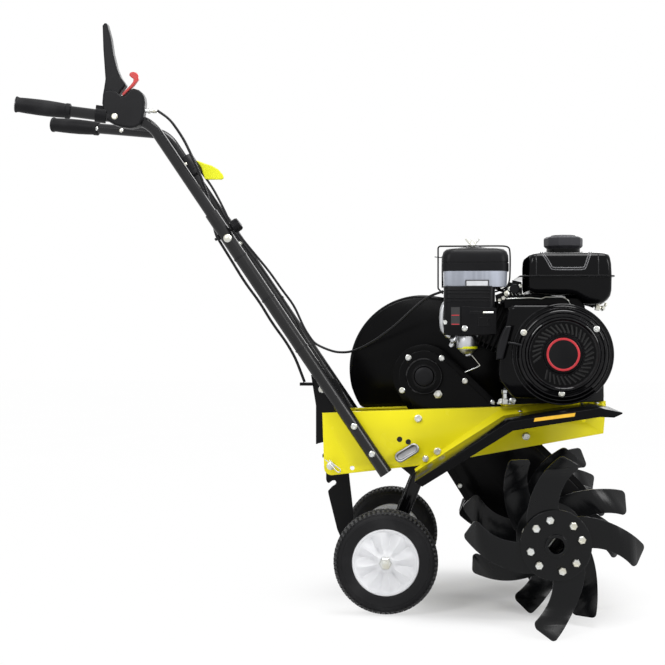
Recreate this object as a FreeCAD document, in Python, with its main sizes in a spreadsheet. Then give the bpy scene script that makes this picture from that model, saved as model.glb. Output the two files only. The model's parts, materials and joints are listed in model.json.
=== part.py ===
"""Walk-behind garden tiller with an air-cooled engine, transport wheels and a six-set tine rotor.

X runs forward, Y to the machine's left, Z up; millimetres. The ground is Z = 0.
Every size is a cell of the sheet "Sizes"; sketches, features and placements are bound to it.
"""

import FreeCAD
import Part
import math
import os
import re
import Sketcher
from FreeCAD import Placement, Rotation, Vector

SIZES = {
    # ground wheels on their folding stand
    "wheel_x": 138, "wheel_radius": 100, "wheel_track": 386, "tyre_wide": 44, "rim_radius": 72,
    "axle_radius": 8, "running_gap": 0.05, "hub_radius": 14, "rim_wide": 34, "stand_pivot_x": 213,
    "stand_pivot_z": 286, "stand_inner": 50, "stand_wall": 8, "stand_wide": 26, "pivot_pin_radius": 6,
    "pivot_tube_radius": 11, "side_gap": 1, "stub_out": 6, "pin_out": 8, "tyre_round": 9,
    # frame of two folded side plates
    "frame_outer": 75, "plate_wall": 3, "frame_rear": 7, "frame_front": 568, "frame_rear_z": 375.6,
    "frame_slope": 2.13, "rear_low_z": 260, "step_x": 195, "step_z": 277, "belly_x": 295.5,
    "belly_z": 272.6, "nose_x": 563, "nose_z": 337.5, "top_flange": 24, "fender_flange": 22,
    "fender_foot_x": 194, "fender_foot_z": 256, "fender_knee_x": 367, "fender_knee_z": 370,
    "fender_bend_x": 532, "fender_bend_z": 396, "fender_front_x": 573, "fender_front_z": 388,
    "fender_outer": 275, "fender_wall": 2.5, "fender_lip": 14, "fender_toe": 15, "deck_rear": 371,
    "deck_wall": 5, "flange_rear": 66,
    # chain case
    "chain_top_x": 210, "chain_top_z": 448, "chain_top_radius": 64, "chain_low_radius": 110,
    "flange_half": 3, "case_half": 35, "case_rim": 13, "boss_radius": 30, "boss_inset": 15,
    "boss_out": "=frame_outer - boss_inset", "mount_boss_radius": 11, "mount_boss_x": 261,
    "mount_boss_z": 330, "mount_boss_step": 90, "mount_boss_rise": 10, "cap_radius": 19,
    "collar_radius": 36, "cap_step": 8, "cap_out": 20,
    # belt cover
    "belt_x": 206, "belt_z": 460, "belt_radius": 148, "belt_front_radius": 72, "belt_inset": 13,
    "belt_near": "=frame_outer - belt_inset", "belt_wide": 83, "stub_radius": 30,
    # engine
    "crank_x": 476, "crank_z": 494.5, "fan_radius": 95.7, "fan_near": -155, "fan_back": -88,
    "fan_top_z": 590, "cowl_top_x": 373.6, "cowl_corner": 6, "cowl_side_x": 356, "cowl_side_z": 484,
    "cowl_knee_x": 353.8, "cowl_knee_z": 447, "cowl_low_x": 382.4, "cowl_low_z": 410,
    "recoil_radius": 86, "recoil_out": 12, "recoil_draft": 8, "block_near": -88, "block_far": 60,
    "block_front_x": 562, "block_top_z": 592, "block_chop_x": 42, "block_chop_z": 54, "brow_step": 12,
    "cylinder_tilt": 25, "barrel_start": 90, "barrel_end": 158, "barrel_wide": 96, "barrel_high": 84,
    "fin_wall": 2.4, "fin_step": 9.5, "fin_out": 9, "first_fin": 3, "fin_count": 7, "head_long": 30,
    "rocker_long": 26, "rocker_in": 10, "rocker_round": 10, "tank_rear": 396, "tank_front": 580,
    "tank_near": -125, "tank_far": 75, "tank_seam_z": 646, "tank_top_z": 690, "tank_low_z": 616,
    "tank_low_front_z": 597, "tank_seam_lip": 7, "tank_seam_half": 2, "tank_floor_in": 10,
    "tank_side_in": 6, "tank_top_in": 13, "tank_corner": 14, "tank_foot_rear": 40, "tank_foot_front": 70,
    "tank_foot_near": 60, "tank_foot_wide": 100, "neck_in": 8, "cap_x": 489.5, "cap_y": -20,
    "fuel_cap_radius": 37.5, "fuel_cap_high": 36, "filler_high": 6, "cleaner_rear": 245,
    "cleaner_front": 376, "cleaner_near": -120, "cleaner_far": -10, "cleaner_top_z": 703,
    "cleaner_split_z": 656, "cleaner_base_z": 627, "cleaner_low_z": 531, "base_rear": 249,
    "base_front": 349, "carb_x": 292, "carb_y": -92, "base_far": -60, "bowl_radius": 18.5,
    "cleaner_corner": 12, "band_in": 3, "port_reach": 15, "port_radius": 14, "port_in": 10,
    "bowl_low_z": 505, "muffler_rear": 246, "muffler_front": 371, "muffler_near": 12, "muffler_far": 112,
    "muffler_low_z": 630, "muffler_top_z": 690, "muffler_round": 20, "elbow_rear": 24, "elbow_front": 4,
    "elbow_in": 2, "elbow_wide": 12,
    # handle
    "tube_radius": 13.3, "tube_wall": 2, "tube_low_x": 135, "tube_low_z": 256.5, "tube_high_x": -215.3,
    "tube_high_z": 775, "tube_gap": 0.2, "handle_half": "=frame_outer + tube_gap + tube_radius",
    "upper_radius": "=tube_radius - tube_wall - tube_gap", "bend_reach": 849, "bend_radius": 60,
    "grip_back": 257.7, "grip_rise": 30, "grip_spread": 45.5, "upper_start": 60, "grip_wall": 4.9,
    "grip_radius": "=upper_radius + grip_wall", "grip_long": 110, "grip_past": 3, "seat_gap": 0.3,
    "knob_reach": 598, "knob_stem": 4, "knob_start": 20, "knob_long": 18, "knob_radius": 12,
    # clutch lever unit, throttle and their cables
    "sleeve_wall": 3.9, "sleeve_radius": "=upper_radius + sleeve_wall", "sleeve_rear": 108,
    "sleeve_front": 33, "unit_out": "=handle_half + 24.5", "unit_in": "=handle_half - 3.5",
    "unit_rear": 85.7, "unit_heel": 9, "unit_low": 16, "unit_front": 3.7, "unit_top": 30,
    "cable_nose": 17.3, "nose_low": 14, "nose_high": 26, "lever_wide": 14, "lever_foot_z": 50,
    "lever_seat_x": 57.7, "lever_seat_z": 63, "lever_neck_x": 47, "lever_neck_z": 69,
    "lever_tip_x": 80.3, "lever_tip_z": 194, "lever_crown_x": 85.3, "lever_crown_z": 196,
    "lever_back_x": 90.7, "lever_back_z": 188, "lever_waist_x": 86.7, "lever_waist_z": 78,
    "lever_hollow": 330, "lever_sweep": 900, "hook_wide": 9, "hook_foot_x": 43.7, "hook_foot_z": 54,
    "hook_seat_x": 31.7, "hook_seat_z": 46, "hook_front_x": 21.7, "hook_front_z": 64,
    "hook_bend_x": 17.7, "hook_bend_z": 81, "hook_top_x": 31.7, "hook_top_z": 98, "hook_tip_x": 38.7,
    "hook_tip_z": 92, "hook_inner_x": 28.7, "hook_back_x": 33.7, "hook_back_z": 68,
    "throttle_wall": 10.9, "throttle_sleeve": "=upper_radius + throttle_wall", "throttle_low": 739,
    "throttle_high": 785, "throttle_wide": 6, "paddle_high": 17, "paddle_low": 3, "paddle_top_out": 24.7,
    "paddle_out": 33.5, "paddle_drop": 19.2, "paddle_tip_out": 30.3, "paddle_tip_drop": 36.4,
    "paddle_end_out": 22.8, "paddle_end_drop": 38.6, "paddle_root_drop": 20.9, "cable_radius": 2.5,
    "cable_step": 6.5,
    # starter grip, guard rod and stand lock
    "starter_low_rear": 349, "starter_low_front": 361, "starter_low_z": 484.5, "starter_top_rear": 366.5,
    "starter_top_front": 377.4, "starter_top_z": 549, "starter_bow": 122, "starter_round": 4,
    "starter_deep": 18, "guard_x": 238, "guard_y": -72, "guard_top_z": 708, "guard_radius": 1.6,
    "guard_low_z": 612, "guard_bend_z": 624, "guard_bend": 5, "guard_seat": 1.9, "stud_x": 306,
    "stud_radius": 3, "stud_top_z": 719, "lock_x": 176.5, "lock_z": 298, "lock_reach": 15.5,
    "lock_radius": 11, "lock_lean": 31, "lock_inner": 6, "lock_out": 9, "lock_wall": 9,
    # handle bracket and drag stake
    "bracket_rear": -6, "bracket_wall": 3, "bracket_low_z": 313, "bracket_top_z": 451, "wing_front": 61,
    "wing_top_x": 26, "bracket_knee_z": 390, "stop_rear": -38, "stop_z": 436, "stop_wall": 6,
    "stop_past": 4, "stop_wide": 18, "bracket_lean": 10, "wing_rise": 17, "wing_chop": 10,
    "wing_step": 5, "wing_drop": 14, "stop_in": 6.5, "stake_half": 4, "stake_top_z": 345,
    "stake_gap": 0.3, "stake_rear": 9, "stake_wide": 47, "notch_top_z": 235, "notch_deep": 8,
    "notch_z": 228, "notch_low_x": 4, "notch_low_z": 215, "stake_bow_x": 23, "stake_bow_z": 132,
    "stake_tip_x": 59, "stake_tip_z": 50, "stake_toe_x": 67, "stake_toe_z": 58, "stake_heel_x": 56,
    "stake_heel_z": 166, "stake_hip_z": 247, "brace_low_z": 286, "brace_wall": 6, "brace_front": 66,
    # tine rotor
    "rotor_x": 444.5, "rotor_z": 160.4, "tip_radius": 160.5, "shaft_radius": 13.5, "tube_out": 20,
    "set_clear": 57, "set_step": 116, "set_inner": "=frame_outer + set_clear",
    "set_middle": "=set_inner + set_step", "set_outer": "=set_middle + set_step", "hub_disc": 63,
    "hub_wall": 6, "blade_wall": 5, "bend_start": 98, "blade_bend": 55, "bend_angle": 50, "hub_seat": 6,
    "hub_start": "=boss_out + hub_seat", "hub_past": 10, "hub_end": "=set_outer + hub_past",
    "spigot_radius": 14, "spigot_long": 68, "phase_inner": 5, "phase_middle": -35, "phase_outer": -4,
    "phase_left": -18, "root_rear": 48, "root_front": 9, "root_gap": 0.6, "back_start": 52,
    "back_radius": 175, "tip_rear": 13, "tip_rear_drop": 3, "tip_corner": 9, "tip_crown": 23.8,
    "tip_crown_drop": 2.8, "tip_front": 44.3, "tip_front_drop": 17.4, "tip_heel": 43.7,
    "tip_heel_drop": 30.8, "tip_toe_corner": 8, "belly_radius": 92, "belly_start": 60, "blade_tail": 60,
    "blade_strip": 70,
    # spare holes through both plates
    "front_hole_x": 525, "front_hole_z": 363, "front_hole_radius": 4.5, "rear_hole_x": 67,
    "rear_hole_z": 275, "rear_hole_radius": 4.5,
}

doc = FreeCAD.newDocument("garden_tiller")
sheet = doc.addObject("Spreadsheet::Sheet", "Sizes")
for row, (alias, number) in enumerate(SIZES.items(), 1):
    sheet.set(f"A{row}", alias)
    sheet.set(f"B{row}", str(number))
    sheet.setAlias(f"B{row}", alias)
doc.recompute()

nodes = []


def bound(text):
    """The expression with each size's name pointed at the sheet."""
    return re.sub(r"[a-z_]\w*", lambda m: "Sizes." + m[0] if m[0] in SIZES else m[0], str(text))


def val(text):
    """The number an expression comes to."""
    return float(sheet.evalExpression(bound(text)))


def place(item, x=0, y=0, z=0, tilt=0):
    """Bind an object's placement: its origin, and a turn about Y."""
    item.Placement = Placement(Vector(val(x), val(y), val(z)), Rotation(Vector(0, 1, 0), val(tilt)))
    for key, text in (("x", x), ("y", y), ("z", z)):
        item.setExpression(f"Placement.Base.{key}", bound(text))
    if tilt:
        item.setExpression("Placement.Rotation.Angle", bound(tilt))


def node(name, item):
    """Register an object as a sub-part that is written out."""
    item.Label = name
    nodes.append(item)
    return item


def new_body(name, *where):
    body = doc.addObject("PartDesign::Body", name)
    place(body, *where)
    return node(name, body)


def sketch_on(body, plane, offset):
    """An empty sketch on one of the body's origin planes, offset along the positive axis."""
    sketch = body.newObject("Sketcher::SketchObject", body.Name + "_sketch")
    face = next(f for f in body.Origin.OriginFeatures if f.Role == plane + "_Plane")
    sketch.AttachmentSupport = [(face, "")]
    sketch.MapMode = "FlatFace"
    sign = "-" if plane == "XZ" else ""
    sketch.setExpression("AttachmentOffset.Base.z", bound(f"{sign}({offset})"))
    return sketch


def fix(sketch, kind, geo, pos, text):
    """Hold a point at a bound distance from the sketch's origin."""
    index = sketch.addConstraint(Sketcher.Constraint(kind, -1, 1, geo, pos, val(text)))
    sketch.setExpression(f"Constraints[{index}]", bound(text))


def ring(sketch, x, y, radius):
    """A bound circle."""
    circle = Part.Circle(Vector(val(x), val(y), 0), Vector(0, 0, 1), val(radius))
    geo = sketch.addGeometry(circle)
    fix(sketch, "DistanceX", geo, 3, x)
    fix(sketch, "DistanceY", geo, 3, y)
    index = sketch.addConstraint(Sketcher.Constraint("Radius", geo, val(radius)))
    sketch.setExpression(f"Constraints[{index}]", bound(radius))


def outline(sketch, points):
    """Closed outline. A point is (x, y), or (x, y, radius, side) where the stretch to the next
    point is an arc of that radius bulging to the "left" or "right" of the way along."""
    ends = []
    spots = [Vector(val(p[0]), val(p[1]), 0) for p in points]
    for here, after, point in zip(spots, spots[1:] + spots[:1], points):
        if len(point) == 2:
            geo = sketch.addGeometry(Part.LineSegment(here, after))
            ends.append((geo, 1, 2))
            continue
        radius = val(point[2])
        way = after - here
        normal = Vector(-way.y, way.x, 0).normalize()
        lift = math.sqrt(max(radius ** 2 - (way.Length / 2) ** 2, 0))
        side = -1 if point[3] == "left" else 1
        centre = (here + after) / 2 + normal * lift * side
        first, last = (after, here) if side < 0 else (here, after)
        angles = [math.atan2(p.y - centre.y, p.x - centre.x) for p in (first, last)]
        circle = Part.Circle(centre, Vector(0, 0, 1), radius)
        geo = sketch.addGeometry(Part.ArcOfCircle(circle, *angles))
        ends.append((geo, 2, 1) if side < 0 else (geo, 1, 2))
        index = sketch.addConstraint(Sketcher.Constraint("Radius", geo, radius))
        sketch.setExpression(f"Constraints[{index}]", bound(point[2]))
    for index, (geo, start, end) in enumerate(ends):
        follower = ends[(index + 1) % len(ends)]
        sketch.addConstraint(Sketcher.Constraint("Coincident", geo, end, follower[0], follower[1]))
        fix(sketch, "DistanceX", geo, start, points[index][0])
        fix(sketch, "DistanceY", geo, start, points[index][1])


def hull(sketch, first, second):
    """Outline round two circles (x, y, radius) and the lines that touch both."""
    (x1, y1, r1), (x2, y2, r2) = [[val(part) for part in circle] for circle in (first, second)]
    way = math.atan2(y2 - y1, x2 - x1)
    lean = math.acos((r1 - r2) / math.hypot(x2 - x1, y2 - y1))

    def touch(x, y, radius, angle):
        return Vector(x + radius * math.cos(angle), y + radius * math.sin(angle), 0)

    one = Part.Circle(Vector(x1, y1, 0), Vector(0, 0, 1), r1)
    two = Part.Circle(Vector(x2, y2, 0), Vector(0, 0, 1), r2)
    upper, lower = way + lean, way - lean
    pieces = [
        Part.ArcOfCircle(one, upper, lower + 2 * math.pi),
        Part.LineSegment(touch(x1, y1, r1, lower), touch(x2, y2, r2, lower)),
        Part.ArcOfCircle(two, lower, upper),
        Part.LineSegment(touch(x2, y2, r2, upper), touch(x1, y1, r1, upper)),
    ]
    geos = [sketch.addGeometry(piece) for piece in pieces]
    for geo, circle in ((geos[0], first), (geos[2], second)):
        fix(sketch, "DistanceX", geo, 3, circle[0])
        fix(sketch, "DistanceY", geo, 3, circle[1])
        index = sketch.addConstraint(Sketcher.Constraint("Radius", geo, val(circle[2])))
        sketch.setExpression(f"Constraints[{index}]", bound(circle[2]))
    for geo, follower in zip(geos, geos[1:] + geos[:1]):
        sketch.addConstraint(Sketcher.Constraint("Tangent", geo, 2, follower, 1))


def made(body, feature):
    doc.recompute()
    if feature.Shape.isNull():
        raise RuntimeError(f"{body.Name}: {feature.Name} made nothing")
    return feature


def pad(body, plane, start, length, draw, taper=None):
    """Sketch drawn by a function, padded along the positive axis."""
    sketch = sketch_on(body, plane, start)
    draw(sketch)
    feature = body.newObject("PartDesign::Pad", body.Name + "_pad")
    feature.Profile = sketch
    feature.Reversed = plane == "XZ"
    feature.setExpression("Length", bound(length))
    if taper:
        feature.setExpression("TaperAngle", bound(taper))
    return made(body, feature)


def pocket(body, plane, start, length, draw):
    """Sketch drawn by a function, cut along the positive axis; the volume must fall."""
    before = body.Shape.Volume
    sketch = sketch_on(body, plane, start)
    draw(sketch)
    feature = body.newObject("PartDesign::Pocket", body.Name + "_pocket")
    feature.Profile = sketch
    feature.Reversed = plane != "XZ"
    feature.setExpression("Length", bound(length))
    made(body, feature)
    if not body.Shape.Volume < before - 1e-6:
        raise RuntimeError(f"{body.Name}: {feature.Name} cut nothing")
    return feature


def soften(body, radius, chosen):
    """Round the edges of the body's tip that a test picks."""
    tip = body.Tip
    names = [f"Edge{n}" for n, edge in enumerate(tip.Shape.Edges, 1) if chosen(edge)]
    if not names:
        raise RuntimeError(f"{body.Name}: no edge to round")
    feature = body.newObject("PartDesign::Fillet", body.Name + "_round")
    feature.Base = (tip, names)
    feature.setExpression("Radius", bound(radius))
    return made(body, feature)


def along(axis, least=0.999):
    """Test for straight edges that run along an axis, or nearly so."""
    way = {"x": Vector(1, 0, 0), "y": Vector(0, 1, 0), "z": Vector(0, 0, 1)}[axis]

    def chosen(edge):
        first, last = edge.Vertexes[0].Point, edge.Vertexes[-1].Point
        straight = edge.Curve.TypeId == "Part::GeomLine"
        return straight and abs((last - first).normalize().dot(way)) > least

    return chosen


def box(body, x1, x2, y1, y2, z1, z2):
    """Upright block between bound limits."""
    corners = [(x1, z1), (x2, z1), (x2, z2), (x1, z2)]
    return pad(body, "XZ", y1, f"{y2} - ({y1})", lambda s: outline(s, corners))


def frame_top(x):
    """Height of the side plates' top edge at a place along the frame."""
    return f"(frame_rear_z + ({x} - frame_rear) * tan(frame_slope))"


SIDES = (("right", -1), ("left", 1))


def y_range(side, inner, outer):
    """Start and length in Y of a span that lies on one side of the middle."""
    start = f"-({outer})" if side < 0 else f"{inner}"
    return start, f"{outer} - ({inner})"


def frame_plates():
    """Folded side plates: web, inward top flange and outward flange under the fender."""
    for name, side in SIDES:
        body = new_body(f"frame_plate_{name}")
        web = y_range(side, "frame_outer - plate_wall", "frame_outer")
        shape = [
            ("frame_rear", "rear_low_z"),
            ("step_x", "step_z"),
            ("belly_x", "belly_z"),
            ("nose_x", "nose_z"),
            ("frame_front", frame_top("frame_front")),
            ("frame_rear", "frame_rear_z"),
        ]
        pad(body, "XZ", *web, lambda s: outline(s, shape))
        top = [
            ("flange_rear", frame_top("flange_rear") + " - plate_wall"),
            ("frame_front", frame_top("frame_front") + " - plate_wall"),
            ("frame_front", frame_top("frame_front")),
            ("flange_rear", frame_top("flange_rear")),
        ]
        lip = y_range(side, "frame_outer - top_flange", "frame_outer")
        pad(body, "XZ", *lip, lambda s: outline(s, top))
        rib = [
            ("fender_foot_x", "fender_foot_z"),
            ("fender_knee_x", "fender_knee_z - plate_wall"),
            ("fender_bend_x", "fender_bend_z - plate_wall"),
            ("fender_front_x", "fender_front_z - plate_wall"),
            ("fender_front_x", "fender_front_z"),
            ("fender_bend_x", "fender_bend_z"),
            ("fender_knee_x", "fender_knee_z"),
            ("fender_foot_x", "fender_foot_z + plate_wall"),
        ]
        flange = y_range(side, "frame_outer - plate_wall / 2", "frame_outer + fender_flange")
        pad(body, "XZ", *flange, lambda s: outline(s, rib))
        through = y_range(side, "frame_outer - plate_wall - 1", "frame_outer + 1")
        for hole in (
            ("stand_pivot_x", "stand_pivot_z", "pivot_pin_radius + running_gap"),
            ("front_hole_x", "front_hole_z", "front_hole_radius"),
            ("rear_hole_x", "rear_hole_z", "rear_hole_radius"),
        ):
            pocket(body, "XZ", *through, lambda s: ring(s, *hole))


def fenders():
    """Sheet over the tines, lying on the frame's outward flange."""
    for name, side in SIDES:
        body = new_body(f"fender_{name}")
        sheet_line = [
            ("fender_foot_x", "fender_foot_z + plate_wall"),
            ("fender_knee_x", "fender_knee_z"),
            ("fender_bend_x", "fender_bend_z"),
            ("fender_front_x", "fender_front_z"),
            ("fender_front_x", "fender_front_z + fender_wall"),
            ("fender_bend_x", "fender_bend_z + fender_wall"),
            ("fender_knee_x", "fender_knee_z + fender_wall"),
            ("fender_foot_x", "fender_foot_z + plate_wall + fender_wall"),
        ]
        span = y_range(side, "frame_outer", "fender_outer")
        pad(body, "XZ", *span, lambda s: outline(s, sheet_line))
        lip_line = [
            ("fender_foot_x", "fender_foot_z + plate_wall"),
            ("fender_foot_x + fender_lip", "fender_foot_z + plate_wall - fender_lip / 2"),
            ("fender_knee_x + fender_lip / 2", "fender_knee_z - fender_lip"),
            ("fender_bend_x", "fender_bend_z - fender_lip"),
            ("fender_front_x - fender_toe", "fender_front_z - fender_lip / 2"),
            ("fender_front_x", "fender_front_z"),
            ("fender_front_x", "fender_front_z + fender_wall"),
            ("fender_bend_x", "fender_bend_z + fender_wall"),
            ("fender_knee_x", "fender_knee_z + fender_wall"),
            ("fender_foot_x", "fender_foot_z + plate_wall + fender_wall"),
        ]
        edge = y_range(side, "fender_outer - fender_wall", "fender_outer")
        pad(body, "XZ", *edge, lambda s: outline(s, lip_line))


def engine_deck():
    """Plate across the two top flanges that the engine stands on."""
    body = new_body("engine_deck")
    line = [
        ("deck_rear", frame_top("deck_rear")),
        ("frame_front", frame_top("frame_front")),
        ("frame_front", frame_top("frame_front") + " + deck_wall"),
        ("deck_rear", frame_top("deck_rear") + " + deck_wall"),
    ]
    near = "-(frame_outer - plate_wall)"
    pad(body, "XZ", near, f"belt_near - 1 - ({near})", lambda s: outline(s, line))


def chain_cases():
    """Pressed halves, flange to flange on the middle plane, with bosses out to the plates."""
    top = ("chain_top_x", "chain_top_z")
    low = ("rotor_x", "rotor_z")
    rim = [(*top, "chain_top_radius"), (*low, "chain_low_radius")]
    inside = [(*top, "chain_top_radius - case_rim"), (*low, "chain_low_radius - case_rim")]
    for name, side in SIDES:
        body = new_body(f"chain_case_{name}")
        pad(body, "XZ", *y_range(side, "0", "flange_half"), lambda s: hull(s, *rim))
        dome = y_range(side, "flange_half", "case_half")
        pad(body, "XZ", *dome, lambda s: hull(s, *inside))
        boss = y_range(side, "flange_half", "boss_out")
        pad(body, "XZ", *boss, lambda s: ring(s, *low, "boss_radius"))
        for step in (0, 1):
            spot = (f"mount_boss_x + {step} * mount_boss_step", f"mount_boss_z + {step} * mount_boss_rise")
            reach = y_range(side, "flange_half", "frame_outer - plate_wall")
            pad(body, "XZ", *reach, lambda s: ring(s, *spot, "mount_boss_radius"))
        if side > 0:
            input_boss = y_range(side, "flange_half", "belt_near")
            pad(body, "XZ", *input_boss, lambda s: ring(s, *top, "collar_radius"))
        bore = y_range(side, "-1", "boss_out + 1")
        pocket(body, "XZ", *bore, lambda s: ring(s, *low, "shaft_radius + running_gap"))


def bearing_cap():
    """Stepped cap over the top bearing on the near half."""
    body = new_body("bearing_cap", "chain_top_x", "-case_half", "chain_top_z")
    pad(body, "XZ", "-cap_step", "cap_step", lambda s: ring(s, "0", "0", "collar_radius"))
    pad(body, "XZ", "-cap_out", "cap_out", lambda s: ring(s, "0", "0", "cap_radius"))


def belt_cover():
    """Cover over both pulleys, standing on the far plate's flange."""
    body = new_body("belt_cover")
    big = ("belt_x", "belt_z")
    small = ("crank_x", "crank_z")
    rim = [(*big, "belt_radius"), (*small, "belt_front_radius")]
    pad(body, "XZ", "belt_near", "belt_wide", lambda s: hull(s, *rim))
    rear, front = "(belt_x - 2 * belt_radius)", "(crank_x + 2 * belt_radius)"
    below = [
        (rear, frame_top(rear)),
        (rear, "belt_z - 2 * belt_radius"),
        (front, "belt_z - 2 * belt_radius"),
        (front, frame_top(front)),
    ]
    pocket(body, "XZ", "belt_near - 1", "belt_wide + 2", lambda s: outline(s, below))


def crankcase():
    """Block on the deck, with the shaft stub into the belt cover and the tank's bracket."""
    body = new_body("crankcase")
    deck = " + deck_wall"
    foot_x, foot_z = up_bore("barrel_start", "-(barrel_high / 2 + fin_out)")
    brow_x, brow_z = up_bore("barrel_start", "barrel_high / 2 + fin_out")
    line = [
        (foot_x, frame_top(foot_x) + deck),
        ("block_front_x", frame_top("block_front_x") + deck),
        ("block_front_x", "block_top_z - block_chop_z"),
        ("block_front_x - block_chop_x", "block_top_z"),
        (f"{brow_x} + brow_step", "block_top_z"),
        (brow_x, brow_z),
        (foot_x, foot_z),
    ]
    pad(body, "XZ", "block_near", "block_far - block_near", lambda s: outline(s, line))
    stub = ("crank_x", "crank_z", "stub_radius")
    pad(body, "XZ", "block_far", "belt_near - block_far", lambda s: ring(s, *stub))
    rear, front = "tank_rear + tank_foot_rear", "tank_rear + tank_foot_front"
    bracket = [
        (rear, "block_top_z - 1"),
        (front, "block_top_z - 1"),
        (front, tank_floor(front)),
        (rear, tank_floor(rear)),
    ]
    pad(body, "XZ", "-tank_foot_near", "tank_foot_wide", lambda s: outline(s, bracket))


def tank_floor(x):
    """Height of the tank's sloping underside."""
    slope = "(tank_low_front_z - tank_low_z) / (tank_front - tank_rear)"
    return f"(tank_low_z + ({x} - tank_rear) * {slope})"


def up_bore(reach, offset):
    """Place in X and Z at a distance along the inclined bore and an offset above its axis."""
    x = f"(crank_x - ({reach}) * cos(cylinder_tilt) + ({offset}) * sin(cylinder_tilt))"
    z = f"(crank_z + ({reach}) * sin(cylinder_tilt) + ({offset}) * cos(cylinder_tilt))"
    return x, z


def cylinder():
    """Inclined barrel with cooling fins, head and rocker cover; its own X runs up the bore."""
    bore = ("crank_x", "0", "crank_z", "180 + cylinder_tilt")
    body = new_body("cylinder", *bore)
    half_w = "barrel_wide / 2"
    half_h = "barrel_high / 2"
    box(body, "barrel_start", "barrel_end", f"-({half_w})", half_w, f"-({half_h})", half_h)
    ribs = box(
        body, "barrel_start + first_fin", "barrel_start + first_fin + fin_wall", f"-({half_w}) - fin_out",
        f"{half_w} + fin_out", f"-({half_h}) - fin_out", f"{half_h} + fin_out",
    )
    pattern = body.newObject("PartDesign::LinearPattern", "cylinder_fins")
    pattern.Originals = [ribs]
    axis = next(f for f in body.Origin.OriginFeatures if f.Role == "X_Axis")
    pattern.Direction = (axis, [""])
    pattern.setExpression("Occurrences", bound("fin_count"))
    pattern.setExpression("Length", bound("(fin_count - 1) * fin_step"))
    body.Tip = pattern
    doc.recompute()
    cover = new_body("rocker_cover", *bore)
    reach = ("barrel_end", "barrel_end + head_long + rocker_long")
    box(cover, *reach, f"-({half_w}) + rocker_in", f"{half_w} - rocker_in", f"-({half_h})", half_h)
    soften(cover, "rocker_round", along("x"))


def fan_housing():
    """Round cowl with a shoulder over the cylinder, open to the recoil starter's cover."""
    body = new_body("fan_housing")
    depth = ("fan_near", "fan_back - fan_near")
    pad(body, "XZ", *depth, lambda s: ring(s, "crank_x", "crank_z", "fan_radius"))
    shoulder = [
        ("cowl_low_x", "cowl_low_z"),
        ("crank_x", "cowl_low_z"),
        ("crank_x", "fan_top_z"),
        ("cowl_top_x + cowl_corner", "fan_top_z"),
        ("cowl_top_x", "fan_top_z - cowl_corner"),
        ("cowl_side_x", "cowl_side_z"),
        ("cowl_knee_x", "cowl_knee_z"),
    ]
    pad(body, "XZ", *depth, lambda s: outline(s, shoulder))
    cover = new_body("recoil_cover", "crank_x", "fan_near", "crank_z")
    pad(cover, "XZ", "-recoil_out", "recoil_out", lambda s: ring(s, "0", "0", "recoil_radius"),
        "recoil_draft")


def fuel_tank():
    body = new_body("fuel_tank")
    side = [
        ("tank_rear + tank_floor_in", tank_floor("tank_rear + tank_floor_in")),
        ("tank_front - tank_floor_in", tank_floor("tank_front - tank_floor_in")),
        ("tank_front - tank_side_in", "tank_seam_z"),
        ("tank_front - tank_top_in", "tank_top_z"),
        ("tank_rear + tank_top_in", "tank_top_z"),
        ("tank_rear + tank_side_in", "tank_seam_z"),
    ]
    pad(body, "XZ", "tank_near", "tank_far - tank_near", lambda s: outline(s, side))
    soften(body, "tank_corner", along("z", 0.9))
    seam = ("tank_rear", "tank_front", "tank_near - tank_seam_lip", "tank_far + tank_seam_lip")
    box(body, *seam, "tank_seam_z - tank_seam_half", "tank_seam_z + tank_seam_half")
    neck = ("cap_x", "cap_y", "fuel_cap_radius - neck_in")
    pad(body, "XY", "tank_top_z", "filler_high", lambda s: ring(s, *neck))
    lid = new_body("tank_cap", "cap_x", "cap_y", "tank_top_z + filler_high")
    pad(lid, "XY", "0", "fuel_cap_high", lambda s: ring(s, "0", "0", "fuel_cap_radius"))


def air_cleaner():
    """Cover, see-through band and ribbed base with the carburettor's elbow."""
    wide = ("cleaner_near", "cleaner_far")
    for name, low, high, inset, depth in (
        ("cover", "cleaner_split_z", "cleaner_top_z", "0", wide),
        ("band", "cleaner_base_z", "cleaner_split_z", "band_in", wide),
    ):
        body = new_body("air_cleaner_" + name)
        box(body, f"cleaner_rear + {inset}", f"cleaner_front - {inset}", *depth, low, high)
        soften(body, "cleaner_corner", along("z"))
        if name == "cover":
            stud = ("stud_x", "guard_y", "stud_radius")
            reach = "stud_top_z - cleaner_top_z"
            pad(body, "XY", "cleaner_top_z", reach, lambda s: ring(s, *stud))
    body = new_body("air_cleaner_base")
    box(body, "base_rear", "base_front", "cleaner_near", "base_far", "cleaner_low_z", "cleaner_base_z")
    soften(body, "cleaner_corner", along("z"))
    port = up_bore("barrel_end + port_reach", "0")
    head_side = "barrel_wide / 2 - port_in"
    pad(body, "XZ", "base_far", f"-({head_side}) - base_far", lambda s: ring(s, *port, "port_radius"))


def carburettor():
    """Float bowl under the air cleaner's base."""
    body = new_body("carburettor", "carb_x", "carb_y", "cleaner_low_z")
    high = "cleaner_low_z - bowl_low_z"
    pad(body, "XY", f"-({high})", high, lambda s: ring(s, "0", "0", "bowl_radius"))


def muffler():
    """Silencer box over the cylinder head, on its exhaust elbow."""
    body = new_body("muffler")
    box(body, "muffler_rear", "muffler_front", "muffler_near", "muffler_far", "muffler_low_z",
        "muffler_top_z")
    soften(body, "muffler_round", along("x"))
    rear_x, rear_z = up_bore("barrel_end + elbow_rear", "barrel_high / 2")
    front_x, front_z = up_bore("barrel_end + elbow_front", "barrel_high / 2")
    elbow = [(rear_x, rear_z), (front_x, front_z), (front_x, "muffler_low_z + 1"),
             (rear_x, "muffler_low_z + 1")]
    pad(body, "XZ", "muffler_near + elbow_in", "elbow_wide", lambda s: outline(s, elbow))


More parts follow.
